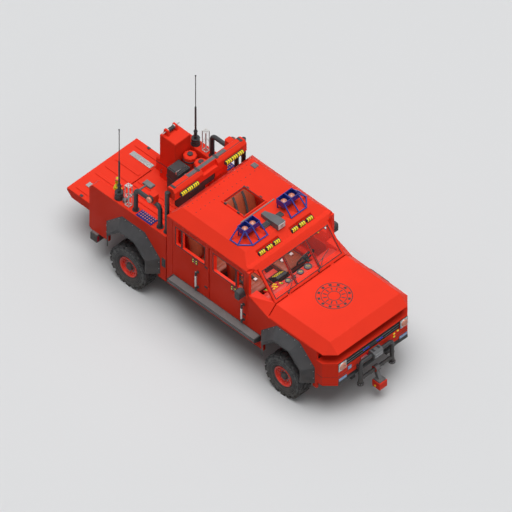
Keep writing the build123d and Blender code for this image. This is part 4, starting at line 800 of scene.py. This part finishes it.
def dress_siren():
    face = Form().box((2.221, 2.231), (-0.082, 0.082), (ROOF_Z + 0.010, ROOF_Z + 0.120))
    face.done("siren_face", "white_paint", 0.004)
    dark = Form()
    for z in (ROOF_Z + 0.046, ROOF_Z + 0.080):
        dark.box((2.217, 2.224), (-0.030, 0.030), (z, z + 0.009))
    dark.box_pair((2.425, 2.515), (0.10, 0.244), (ROOF_Z + 0.039, ROOF_Z + 0.046))
    spots = [at(station, y, ROOF_Z + 0.046) for y in (0.225, -0.225) for station in (2.440, 2.500)]
    dark.bolts(spots, UP, 0.009, 0.009).done("siren_slats", "dark_plastic", 0.001)


def dress_light_bar():
    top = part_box("light_bar")[1].z
    grey = Form().box((4.045, 4.115), (-0.46, 0.46), (top - 0.001, top + 0.006))
    grey.bolts([at(4.08, -0.42 + 0.105 * k, top + 0.006) for k in range(9)], UP, 0.008, 0.006)
    grey.done("bar_top_strip", "grey_metal", 0.002)
    dark = Form()
    for y in (0.20, 0.79):
        dark.box_pair((4.015, 4.130), (y, y + 0.05), (top - 0.001, top + 0.010))
    dark.box_pair((4.030, 4.040), (0.22, 0.84), (top - 0.001, top + 0.004))
    for side in (1, -1):
        rim = [(0.0585, 0), (0.066, 0), (0.066, 0.030), (0.0585, 0.034)]
        dark.lathe(rim, at(4.432, side * 0.995, 2.271), LEFT * side, 32)
    dark.box((4.0355, 4.043), (-0.17, 0.17), (2.565, 2.665)).done("bar_fittings", "dark_plastic", 0.003)
    seams = Form()
    for y in (-0.62, -0.20, 0.20, 0.62):
        seams.box((4.1535, 4.157), near(y, 0.003), (2.47, 2.64))
    seams.box((4.1535, 4.157), (-0.85, 0.85), (2.555, 2.561)).done("bar_seams", "chassis_black")


dress_screen()
dress_lamp_modules()
dress_guards()
dress_roof()
dress_siren()
dress_light_bar()


# Doors: button plates, handle sleeves, window seals and mirror glass
DOOR_TABLE = [  # end, leaf front, leaf rear, window front, window bar, window rear, handle, plate
    ("front", 2.040, 2.948, 2.125, 2.295, 2.862, 2.110, 2.355),
    ("rear", 2.972, 3.847, 3.062, 3.622, 3.775, 3.230, 3.304)]
WINDOW_TOP_Z = 2.072
WALL_Y = 1.045
HANDLE_Y = 1.100
LINING_Y = 0.986


def dress_door(end, name, side, row):
    front, rear, window_front, bar, window_rear, handle, plate = row
    label = end + "_" + name
    body = "door_" + label
    out = LEFT * side
    face = side * WALL_Y
    proud = face + side * 0.008
    grip = side * HANDLE_Y
    seals = Form()
    for a, b in ((window_front, bar - 0.011), (bar + 0.011, window_rear)):
        corners = ((a, DECK_Z), (b, DECK_Z), (b, WINDOW_TOP_Z), (a, WINDOW_TOP_Z))
        seals.tube([at(station, side * (WALL_Y + 0.001), z) for station, z in corners], 0.0065, 8, True)
    seals.done("window_seal_" + label, "chassis_black", body=body)
    sleeves = Form().band(0.0138, 0.0230, 0.004, 0.250, at(handle, grip, 1.048), UP, 20)
    sleeves.disc(at(handle, grip, 0.950), -UP, 0.0145, 0.004, 18, 0.002)
    sleeves.disc(at(handle, grip, 1.3945), UP, 0.0145, 0.004, 18, 0.002)
    sleeves.done("handle_sleeve_" + label, "silver", body=body)
    roses = Form()
    for z in (0.990, 1.355):
        roses.disc(at(handle, face - side * 0.001, z), out, 0.030, 0.010, 22)
        for angle in (0.8, 2.9, 5.0):
            spot = at(handle + 0.021 * math.cos(angle), proud, z + 0.021 * math.sin(angle))
            roses.bolt(spot, out, 0.0045, 0.004)
    for low, high, arm in ((0.952, 1.046, 0.990), (1.300, 1.393, 1.355)):
        roses.band(0.0138, 0.0210, 0.002, high - low, at(handle, grip, low), UP, 20)
        roses.band(0.0105, 0.0190, 0.001, 0.048, at(handle, face + side * 0.004, arm), out, 18)
    hinge = front + 0.022
    for z in (1.105, 1.585):
        roses.box((hinge, hinge + 0.07), (face, proud), (z, z + 0.034))
        roses.bolts([at(hinge + k, proud, z + 0.017) for k in (0.02, 0.05)], out, 0.005, 0.004)
    roses.done("door_roses_" + label, "dark_plastic", 0.0004, body)
    panel = Form().box(near(plate, 0.066), (face - side * 0.001, proud), (1.505, 1.615))
    panel.done("button_plate_" + label, "dark_plastic", 0.004, body)
    yellow, red = Form(), Form()
    for k in range(3):
        for z in (1.535, 1.585):
            station = plate - 0.040 + 0.040 * k
            button = red if k == 1 else yellow
            button.disc(at(station, face + side * 0.007, z), out, 0.014, 0.007, 18, 0.002)
            button.disc(at(station, side * LINING_Y, z), -out, 0.014, 0.012, 18, 0.002)
    yellow.done("buttons_yellow_" + label, "lens_yellow", body=body)
    red.done("buttons_red_" + label, "lens_red", body=body)
    inner = Form().box((front + 0.06, rear - 0.06), (side * 0.979, side * LINING_Y), (0.96, 1.36))
    pull = ((0.30, 0.985), (0.30, 0.962), (0.52, 0.962), (0.52, 0.985))
    inner.tube([at(front + step, side * y, 1.50) for step, y in pull], 0.009, 10)
    inner.done("door_lining_" + label, "cab_plastic", 0.003, body)


def dress_mirror(name, side):
    body = "door_front_" + name
    rear = FASCIA_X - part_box("mirror_" + name)[0].x
    middle = side * 1.1475
    glass = Form().box((2.167, 2.1705), near(middle, 0.052), (1.62, 1.745))
    glass.done("mirror_glass_" + name, "silver", 0.0015, body)
    corners = ((-0.058, 1.612), (0.058, 1.612), (0.058, 1.753), (-0.058, 1.753))
    trim = Form().tube([at(rear, middle + dy, z) for dy, z in corners], 0.005, 8, True)
    trim.box((2.056, 2.059), near(middle, 0.05), (1.66, 1.70))
    trim.done("mirror_trim_" + name, "chassis_black", body=body)


for row in DOOR_TABLE:
    for name, side in SIDES:
        dress_door(row[0], name, side, row[1:])
for name, side in SIDES:
    dress_mirror(name, side)


# Interior: padded seats, belts, instruments and switches
CAB_FLOOR_Z = 0.760
SEAT_TABLE = [  # row, cushion front, inner y, outer y
    ("front", 2.300, 0.175, 0.700), ("rear", 3.120, 0.020, 0.820)]
PAD_GRID = (44, 36)
CHANNELS = 5
PIPING = [  # behind the cushion's front, in from its side, over its seam
    (0.47, 0.010, -0.012), (0.02, 0.010, 0), (0.010, 0.03, 0)]
BELT_PATH = [  # behind the cushion's front, over the floor
    (0.612, 1.10), (0.540, 0.98), (0.470, 0.72), (0.436, 0.48), (0.400, 0.405), (0.24, 0.392)]
STRAP_LIFT = 0.0016       # half the thickness of a belt
DASH_FRONT = 1.800        # station of the dash top's front edge


def crowned(share):
    """Height of a stuffed pad across its width: full in the middle, drawn in at the edge."""
    return (1 - abs(2 * share - 1) ** 4) ** 0.5


def channels(share):
    """Dips of the sewn channels along a pad."""
    wave = abs(math.sin(math.pi * CHANNELS * share))
    return 1 - (1 - wave) ** 6


def cushion(front, y0, y1):
    """Seat cushion: a crown with sewn channels across it and sides that pull in."""
    def place(u, v, top):
        waist = 0.010 * math.sin(math.pi * u)
        y = y0 + 0.006 + waist + (y1 - y0 - 0.012 - 2 * waist) * v
        crown = crowned(v) * crowned(min(1.0, u * 0.97 + 0.015))
        depth = 0.085 + 0.048 * crown * (0.80 + 0.20 * channels(u)) - 0.026 * u
        return at(front + 0.008 + 0.486 * u, y, CAB_FLOOR_Z + 0.255 + (depth if top else 0.0))
    return place


def backrest(front, y0, y1):
    """Backrest: a leaning pad that narrows towards the head, with upright channels."""
    def place(u, v, top):
        lean = front + 0.470 + 0.150 * u
        narrow = 0.010 + 0.055 * max(0.0, u - 0.72) / 0.28
        waist = 0.008 * math.sin(math.pi * u)
        y = y0 + narrow + waist + (y1 - y0 - 2 * narrow - 2 * waist) * v
        crown = crowned(v) * crowned(u)
        bulge = 0.045 * crown * (0.78 + 0.22 * channels(v))
        station = lean + 0.020 - bulge if top else lean + 0.062 + 0.020 * crown
        return at(station, y, CAB_FLOOR_Z + 0.395 + 0.720 * u)
    return place


def dress_seats():
    for row, front, inner, outer in SEAT_TABLE:
        for name, side in SIDES:
            y0, y1 = sorted((side * inner, side * outer))
            label = row + "_" + name
            for kind, maker in (("cushion", cushion), ("backrest", backrest)):
                form = Form().shell(*PAD_GRID, maker(front, y0, y1))
                pad = form.done("seat_" + kind + "_" + label, "seat_leather")
                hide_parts("seats")
            base = Form().box((front + 0.035, front + 0.545), (y0 + 0.020, y1 - 0.020),
                              (CAB_FLOOR_Z, CAB_FLOOR_Z + 0.262))
            plinth = base.done("seat_base_" + label, "dark_plastic", 0.008)
            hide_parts("seats")
            z = CAB_FLOOR_Z + 0.338
            path = [at(front + step, y0 + inset, z + lift) for step, inset, lift in PIPING]
            path += [at(front + step, y1 - inset, z + lift) for step, inset, lift in reversed(PIPING)]
            Form().tube(path, 0.006, 8).done("seat_piping_" + label, "webbing")


def dress_belts():
    belts, buckles = Form(), Form()
    for _, front, inner, outer in SEAT_TABLE:
        for side in (1, -1):
            for y in near(side * (inner + outer) / 2, 0.11):
                path = [at(front + step, y, CAB_FLOOR_Z + rise) for step, rise in BELT_PATH]
                belts.strap(path, 0.046, LEFT)
                buckles.box((front + 0.215, front + 0.270), near(y, 0.030), near(CAB_FLOOR_Z + 0.390, 0.012))
    belts.done("seat_belts", "webbing", smooth=False)
    buckles.done("belt_buckles", "white_paint", 0.004)


def on_dash(station, y):
    """Point on the sloping top of the dash."""
    return at(station, y, 1.5995 - 0.5727 * (station - DASH_FRONT))


def dress_dash():
    dials, rims, needles = Form(), Form(), Form()
    for y, radius in ((0.216, 0.066), (0.028, 0.056), (-0.145, 0.040), (-0.272, 0.048)):
        spot = at(DASH_FRONT, y, 1.606)
        hub = spot + UP * 0.009
        wide = radius * 1.12
        rim = [(0, -0.055), (radius, -0.055), (wide, -0.010), (wide, 0.010), (radius * 0.96, 0.010)]
        dials.disc(spot, UP, radius * 0.9, 0.006, 28)
        rims.lathe(rim + [(radius * 0.94, 0.002), (0, 0.002)], spot, UP, 28)
        needles.tube([hub, hub + Vector((0.30, 0.55, 0)) * radius], 0.005, 6)
        needles.tube([hub, hub + Vector((-0.50, -0.25, 0)) * radius], 0.004, 6)
    dials.done("dials", "grey_metal")
    rims.done("dial_rims", "dark_plastic")
    needles.done("dial_needles", "lens_yellow")


def dress_switches():
    lean = Vector((-0.063, 0, 0.110)).normalized()
    corners = ((1.800, -0.68), (2.000, -0.68), (2.000, -0.35), (1.800, -0.35))
    panel = Form().prism([on_dash(*corner) - lean * 0.030 for corner in corners], lean * 0.042)
    panel.done("switch_panel", "cab_plastic", 0.003)
    keys = {look: Form() for look in ("lens_red", "lens_yellow", "lens_green")}
    order = ("lens_red", "lens_yellow", "lens_yellow", "lens_red", "lens_yellow")
    for k in range(5):
        for step in range(4):
            look = "lens_green" if (k, step) in ((0, 3), (4, 0)) else order[(k + 2 * step) % 5]
            spot = on_dash(1.827 + 0.048 * step, -0.642 + 0.064 * k) + lean * 0.010
            keys[look].disc(spot, lean, 0.020, 0.012, 16, 0.003)
    for look, form in keys.items():
        form.done("switches_" + look, look)


def dress_console():
    section = ((2.20, 1.079), (2.20, 1.24), (2.26, 1.25), (2.40, 1.13), (2.46, 1.079))
    unit = Form().prism([at(station, -0.12, z) for station, z in section], LEFT * 0.24)
    unit.done("console_unit", "wheel_black", 0.006)
    slope = Vector((-0.12, 0, 0.14)).normalized()
    pads = Form()
    for k in range(5):
        for step in range(3):
            spot = at(2.285 + 0.040 * step, -0.08 + 0.04 * k, 1.2286 - 0.0343 * step)
            pads.disc(spot - slope * 0.002, slope, 0.014, 0.008, 12)
    pads.done("console_keys", "lens_yellow")
    lever = Form().tube([at(2.04, 0.05, 1.075), at(2.06, 0.05, 1.20), at(2.09, 0.05, 1.26)], 0.008, 10)
    knob = [(0, -0.02), (0.018, -0.016), (0.024, 0.004), (0.016, 0.022), (0, 0.026)]
    lever.lathe(knob, at(2.09, 0.05, 1.27), UP, 18).done("gear_lever", "wheel_black")


def dress_vents():
    vents = Form()
    for y in (-0.72, -0.16, 0.16, 0.72):
        for z in [1.44 + 0.022 * k for k in range(4)]:
            vents.box((1.905, 1.916), near(y, 0.06), (z, z + 0.012))
    vents.box((1.905, 1.914), (-0.62, -0.28), (1.415, 1.425)).done("dash_vents", "dark_plastic", 0.002)


def dress_floor():
    mats = Form()
    ribs = (CAB_FLOOR_Z + 0.009, CAB_FLOOR_Z + 0.014)
    for front, rear in ((1.85, 2.28), (2.90, 3.10)):
        mats.box_pair((front, rear), (0.17, 0.86), (CAB_FLOOR_Z - 0.001, CAB_FLOOR_Z + 0.010))
        for y in [0.22 + 0.11 * k for k in range(6)]:
            mats.box_pair((front + 0.02, rear - 0.02), near(y, 0.012), ribs)
    mats.done("floor_mats", "chassis_black", 0.002)
    pedals = Form()
    for y in (0.33, 0.46, 0.57):
        pedals.box((1.845, 1.86), near(y, 0.03), (0.86, 0.94))
        pedals.tube([at(1.85, y, 0.93), at(1.80, y, 1.27)], 0.008, 8)
    pedals.done("pedals", "steel", 0.003)


dress_seats()
dress_belts()
dress_dash()
dress_switches()
dress_console()
dress_vents()
dress_floor()


# Sides and bed
AXLES = (1.027, 4.811)
RAIL_Y = 0.935
ANTENNA = 5.270           # station of the antenna feet
BOARD_SECTION = [  # y, z
    (1.047, 0.748), (1.047, 0.886), (1.208, 0.886), (1.208, 0.803)]
RACK_POSTS = [  # station, y
    (4.985, 0.905), (5.075, 0.905), (5.075, 0.985), (4.985, 0.985)]
FOOT_BANDS = [  # height over the rail, radius of the antenna's foot
    (0.030, 0.0725), (0.085, 0.0725), (0.138, 0.0725), (0.200, 0.0305), (0.300, 0.0305)]


def arch(axle, half, top, slope, foot, y):
    """Octagonal arch outline at one width, foot to foot."""
    bends = [(half, foot), (half, top - slope), (half - slope, top)]
    path = [at(axle - reach, y, z) for reach, z in bends]
    return path + [at(axle + reach, y, z) for reach, z in reversed(bends)]


def dress_flares():
    lips, bolts = Form(), Form()
    for axle in AXLES:
        for side in (1, -1):
            lips.tube(arch(axle, 0.470, 1.215, 0.268, 0.655, side * 1.208), 0.007, 8)
            lips.tube(arch(axle, 0.650, 1.396, 0.374, 0.655, side * 1.047), 0.006, 8)
            line = arch(axle, 0.637, 1.383, 0.366, 0.700, side * 1.0645)
            for a, b in zip(line, line[1:]):
                count = max(2, round((b - a).length / 0.16))
                spots = [a.lerp(b, (k + 0.5) / count) - LEFT * (side * 0.006) for k in range(count)]
                bolts.bolts(spots, LEFT * side, 0.009, 0.012)
    lips.done("flare_lips", "dark_plastic")
    bolts.done("flare_bolts", "steel")


def dress_boards():
    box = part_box("running_boards")
    front = FASCIA_X - box[1].x
    rear = FASCIA_X - box[0].x
    tread, caps = Form(), Form()
    tread.box_pair((front + 0.02, rear - 0.02), (1.058, 1.200), (STEP_Z - 0.001, STEP_Z + 0.004))
    for y in [1.072 + 0.028 * k for k in range(5)]:
        tread.box_pair((front + 0.03, rear - 0.03), near(y, 0.005), (STEP_Z + 0.003, STEP_Z + 0.009))
    for z in (STEP_Z - 0.022, STEP_Z - 0.052):
        tread.box_pair((front + 0.01, rear - 0.01), (1.203, 1.208), (z - 0.008, z + 0.004))
    for side in (1, -1):
        stations = [front + 0.10 + (rear - front - 0.2) * k / 8 for k in range(9)]
        caps.bolts([at(s, side * 1.204, STEP_Z - 0.012) for s in stations], LEFT * side, 0.007, 0.006)
        for station in (front - 0.004, rear - 0.010):
            caps.prism([at(station, side * y, z) for y, z in BOARD_SECTION], FORWARD * -0.014)
    tread.done("step_tread", "step_grey", 0.001)
    caps.done("step_caps", "dark_plastic", 0.0004)


def dress_panels():
    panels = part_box("rail_panels")
    front = FASCIA_X - panels[1].x
    top = panels[1].z
    studs = Form()
    for side in (1, -1):
        for station in [front + 0.035 + 0.05 * i for i in range(7)]:
            spots = [at(station, side * (0.885 + 0.05 * j), top - 0.001) for j in range(3)]
            studs.discs(spots, UP, 0.013, 0.007, 14, 0.002)
    studs.done("panel_studs", "lens_warm")
    covers = Form().box_pair((front + 0.004, front + 0.366), (0.866, 1.027), (top - 0.002, top + 0.001))
    for y in (0.910, 0.960):
        covers.box_pair((front + 0.010, front + 0.360), near(y, 0.004), (top, top + 0.005))
    covers.done("panel_faces", "navy_panel")


def dress_rails():
    racks, bands, tips = Form(), Form(), Form()
    low = DECK_Z + 0.002
    high = DECK_Z + 0.480
    tip = [(0, 0.0), (0.013, 0.004), (0.015, 0.014), (0.010, 0.024), (0, 0.026)]
    for side in (1, -1):
        posts = [at(station, side * y, 0) for station, y in RACK_POSTS]
        for post in posts:
            racks.tube([post + UP * low, post + UP * high], 0.009, 8)
        for z in (low + 0.012, (low + high) / 2, high):
            racks.tube([post + UP * z for post in posts], 0.009, 8, True)
        for a, b in ((0, 2), (1, 3)):
            racks.tube([posts[a] + UP * high, posts[b] + UP * high], 0.009, 8)
        for rise, radius in FOOT_BANDS:
            spot = at(ANTENNA, side * RAIL_Y, DECK_Z + rise)
            bands.band(radius - 0.001, radius + 0.006, 0.002, 0.014, spot, UP, 28)
        for station in (4.267, 4.862):
            foot = at(station, side * RAIL_Y, DECK_Z + 0.013)
            bands.bolts(circle(foot, 0.053, 6), UP, 0.006, 0.006)
        tips.lathe(tip, at(ANTENNA, side * RAIL_Y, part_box("antennas")[1].z - 0.028), UP, 16)
    racks.done("wire_racks", "white_paint")
    bands.done("rail_bands", "dark_plastic")
    tips.done("antenna_tips", "black_paint")


def dress_bottle():
    station, y = 5.474, -0.767
    outlet = at(station - 0.075, y, FLOOR_Z + 0.84)
    wheel = [(0.030, -0.022), (0.050, -0.020), (0.052, -0.008), (0.034, -0.004)]
    red = Form().lathe(wheel, at(station, y, FLOOR_Z + 0.981), UP, 24)
    red.tube([at(station, y, FLOOR_Z + 0.84), outlet], 0.014)
    red.disc(outlet, FORWARD, 0.030, 0.022, 18, 0.003).done("bottle_fittings", "red_rim")
    bands = Form()
    for z in (FLOOR_Z + 0.12, FLOOR_Z + 0.38, FLOOR_Z + 0.66):
        bands.band(0.077, 0.082, 0.002, 0.030, at(station, y, z), UP, 36)
        bands.box(near(station, 0.03), (-0.850, -0.842), (z - 0.004, z + 0.034))
    bands.done("bottle_bands", "dark_plastic", 0.001)
    low = DECK_Z + 0.050
    head = Form().box((5.025, 5.205), (-0.415, -0.315), (low - 0.001, low + 0.008))
    for front in [5.035 + 0.035 * k for k in range(5)]:
        head.box((front, front + 0.015), (-0.405, -0.325), (low + 0.007, low + 0.013))
    head.done("arm_pad", "step_grey", 0.002)


def dress_bed():
    ribs = Form()
    for k in range(9):
        ribs.box((4.09, 5.86), near(-0.76 + 0.11 * k, 0.020), (FLOOR_Z - 0.001, FLOOR_Z + 0.010))
    ribs.done("bed_ribs", "red_paint", 0.004)
    seam = near(FLOOR_Z + 0.34, 0.004)
    seams = Form().box((5.300, 5.305), (0.476, 0.840), seam).box((5.304, 5.678), (0.466, 0.472), seam)
    seams.done("locker_seams", "chassis_black", 0.001)
    pulls = Form()
    for station in (5.35, 5.49, 5.63):
        pull = ((0.472, 0.14), (0.445, 0.14), (0.445, 0.20), (0.472, 0.20))
        pulls.tube([at(station, y, FLOOR_Z + rise) for y, rise in pull], 0.006, 8)
    pulls.done("locker_pulls", "steel")
    hoops = Form()
    for station in (5.160, 4.890):
        for rise in (0.14, 0.40, 0.64):
            hoops.band(0.118, 0.1275, 0.001, 0.028, at(station, 0.690, FLOOR_Z + rise), UP, 40)
        hoops.disc(at(station, 0.690, FLOOR_Z + 0.759), UP, 0.050, 0.022, 24, 0.004)
    hoops.done("cask_hoops", "dark_plastic")
    pump = Form()
    port = [(0, -0.002), (0.052, -0.002), (0.052, 0.020), (0.036, 0.026), (0.036, 0.060), (0, 0.066)]
    for station, y in ((4.72, 0.26), (4.72, 0.42), (4.90, 0.34)):
        pump.lathe(port, at(station, y, FLOOR_Z + 0.620), UP, 26)
    pump.discs([at(4.620, y, FLOOR_Z + 0.30) for y in (0.24, 0.44)], FORWARD, 0.052, 0.040, 26, 0.006)
    pump.done("pump_ports", "steel", slot="cast_metal")
    chest = Form().disc(at(5.78, 0.70, FLOOR_Z + 0.309), UP, 0.045, 0.020, 24, 0.004)
    chest.box((5.70, 5.86), (0.556, 0.561), (FLOOR_Z + 0.19, FLOOR_Z + 0.20))
    chest.done("chest_port", "dark_plastic")


def dress_gear_box():
    box = Form().box((5.012, 5.290), (0.255, 0.545), (FLOOR_Z, FLOOR_Z + 0.640))
    box.box((5.030, 5.272), (0.275, 0.525), (FLOOR_Z + 0.638, FLOOR_Z + 0.656))
    for z in (FLOOR_Z + 0.21, FLOOR_Z + 0.43):
        box.box((5.020, 5.282), (0.249, 0.257), near(z, 0.006))
        box.box((5.006, 5.014), (0.265, 0.535), near(z, 0.006))
    box.done("gear_box", "dark_plastic", 0.003)
    loop = ((0.255, 0.640), (0.255, 0.690), (0.500, 0.690), (0.500, 0.640))
    Form().tube([at(5.06, y, FLOOR_Z + rise) for y, rise in loop], 0.014, 14).done("box_handle", "silver")
    rod = Form().tube([at(5.598, y, FLOOR_Z + 1.100) for y in (0.452, 0.860)], 0.012, 14)
    for y in (0.575, 0.730):
        rod.band(0.0335, 0.040, 0.002, 0.024, at(5.598, y - 0.012, FLOOR_Z + 1.100), LEFT, 28)
    rod.done("locker_rod", "silver")


def dress_gate():
    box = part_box("tailgate")
    front = FASCIA_X - box[1].x + 0.045
    rear = FASCIA_X - box[0].x - 0.19
    under = FLOOR_Z - 0.170
    strips = Form()
    grip = (FLOOR_Z + 0.002, FLOOR_Z + 0.008)
    for y in (0.536, -0.536):
        strips.box((front, rear), near(y, 0.055), (FLOOR_Z - 0.001, FLOOR_Z + 0.003))
        for shift in [0.022 * k for k in range(-2, 3)]:
            strips.box((front + 0.005, rear - 0.005), near(y + shift, 0.006), grip)
    strips.done("gate_strips", "silver", 0.001, "tailgate")
    ribs = Form()
    for y in (-0.72, -0.24, 0.0, 0.24, 0.72):
        ribs.box((front + 0.02, rear + 0.08), near(y, 0.030), (FLOOR_Z - 0.001, FLOOR_Z + 0.006))
    for y in (-0.50, 0.0, 0.50):
        ribs.box((front + 0.05, rear - 0.02), near(y, 0.16), (under - 0.006, under + 0.001))
    ribs.done("gate_ribs", "red_paint", 0.002, "tailgate")
    latch = Form().box((front + 0.30, front + 0.37), (-0.11, 0.11), (under - 0.014, under + 0.001))
    latch.box_pair((front + 0.34, front + 0.40), (0.80, 0.846), (FLOOR_Z - 0.001, FLOOR_Z + 0.010))
    latch.done("gate_latch", "dark_plastic", 0.003, "tailgate")


def dress_rear():
    for look, low, high in (("lens_red", 1.30, 1.46), ("lens_amber", 1.19, 1.29), ("lens_pale", 1.11, 1.18)):
        Form().box_pair((5.886, 5.900), (0.880, 1.015), (low, high)).done("tail_" + look, look, 0.004)
    Form().box_pair((5.886, 5.895), (0.868, 1.027), (1.095, 1.475)).done("tail_frames", "black_paint", 0.003)
    reflectors = Form().box_pair((5.634, 5.641), (1.055, 1.105), (0.42, 0.54))
    reflectors.done("bumper_reflectors", "lens_red", 0.003)
    bumper = Form()
    for k in range(9):
        bumper.box((5.655, 5.785), near(-1.0 + 0.25 * k, 0.09), (0.559, 0.565))
    bumper.done("bumper_tread", "step_grey", 0.002)
    filler = Form().box((4.025, 4.115), (-1.053, -1.044), (0.886, 1.086))
    filler.disc(at(4.07, -1.052, 0.986), -LEFT, 0.034, 0.012, 26, 0.003)
    filler.done("fuel_filler", "dark_plastic", 0.0018)


dress_flares()
dress_boards()
dress_panels()
dress_rails()
dress_bottle()
dress_bed()
dress_gear_box()
dress_gate()
dress_rear()


# Floor, light and camera
FLOOR_REACH = 40.0
VIEW_TARGET = Vector((0.328, 0, 1.267))
VIEW_FROM = Vector((0.5, -0.5, 0.7071))
VIEW_WIDTH = 8.858
VIEW_DISTANCE = 20


def seen_rays(tree):
    """One where the camera looks, straight or by way of a reflection or glass."""
    path = tree.nodes.new("ShaderNodeLightPath")
    seen = path.outputs["Is Camera Ray"]
    for name in ("Is Glossy Ray", "Is Transmission Ray"):
        node = tree.nodes.new("ShaderNodeMath")
        node.operation = "MAXIMUM"
        tree.links.new(seen, node.inputs[0])
        tree.links.new(path.outputs[name], node.inputs[1])
        seen = node.outputs["Value"]
    return seen


def stage_floor():
    """Floor that is pale to the camera and in reflections, and darker for the light that it throws back."""
    finish = Finish("floor", linear(108, 108, 107), 0.9)
    finish.mix(seen_rays(finish.tree), linear(218, 219, 220)).matte(0.1)
    form = Form()
    form.bm.faces.new(form.verts([Vector((x * FLOOR_REACH, y * FLOOR_REACH, -0.001)) for x, y in SQUARE]))
    floor = form.placed("floor", finish.done())


def sun(name, strength, angle, direction):
    data = bpy.data.lights.new(name, "SUN")
    data.energy = strength
    data.angle = math.radians(angle)
    linked(name, data).rotation_euler = (-Vector(direction)).to_track_quat("-Z", "Y").to_euler()


def cab_lamp():
    """Soft light under the roof, so that the seats and controls show."""
    data = bpy.data.lights.new("cab_lamp", "AREA")
    data.energy = 20
    data.shape = "RECTANGLE"
    data.size = 1.3
    data.size_y = 1.4
    linked("cab_lamp", data).location = at(2.85, 0, ROOF_Z - 0.10)


def light_scene():
    """Even light from above and a little from the front, with a pale backdrop for what the camera sees."""
    world = bpy.data.worlds.new("studio")
    world.use_nodes = True
    tree = world.node_tree
    back = tree.nodes["Background"]
    back.inputs["Color"].default_value = linear(250, 250, 252)
    back.inputs["Strength"].default_value = 0.21
    pale = tree.nodes.new("ShaderNodeBackground")
    pale.inputs["Color"].default_value = linear(222, 223, 225)
    mix = tree.nodes.new("ShaderNodeMixShader")
    tree.links.new(seen_rays(tree), mix.inputs[0])
    tree.links.new(back.outputs["Background"], mix.inputs[1])
    tree.links.new(pale.outputs["Background"], mix.inputs[2])
    tree.links.new(mix.outputs["Shader"], tree.nodes["World Output"].inputs["Surface"])
    bpy.context.scene.world = world
    sun("key", 2.50, 55, (0.06, -0.03, 1.0))
    sun("front", 0.48, 60, (1.0, -0.10, 0.20))
    cab_lamp()


def place_camera():
    """The camera looks down at the right front corner, with level lines kept parallel."""
    data = bpy.data.cameras.new("camera")
    data.type = "ORTHO"
    data.ortho_scale = VIEW_WIDTH
    data.clip_end = 100
    camera = linked("camera", data)
    camera.location = VIEW_TARGET + VIEW_FROM.normalized() * VIEW_DISTANCE
    camera.rotation_euler = (-VIEW_FROM).to_track_quat("-Z", "Y").to_euler()
    bpy.context.scene.camera = camera


stage_floor()
light_scene()
place_camera()
bpy.context.scene.view_settings.view_transform = "Standard"

bpy.context.view_layer.update()
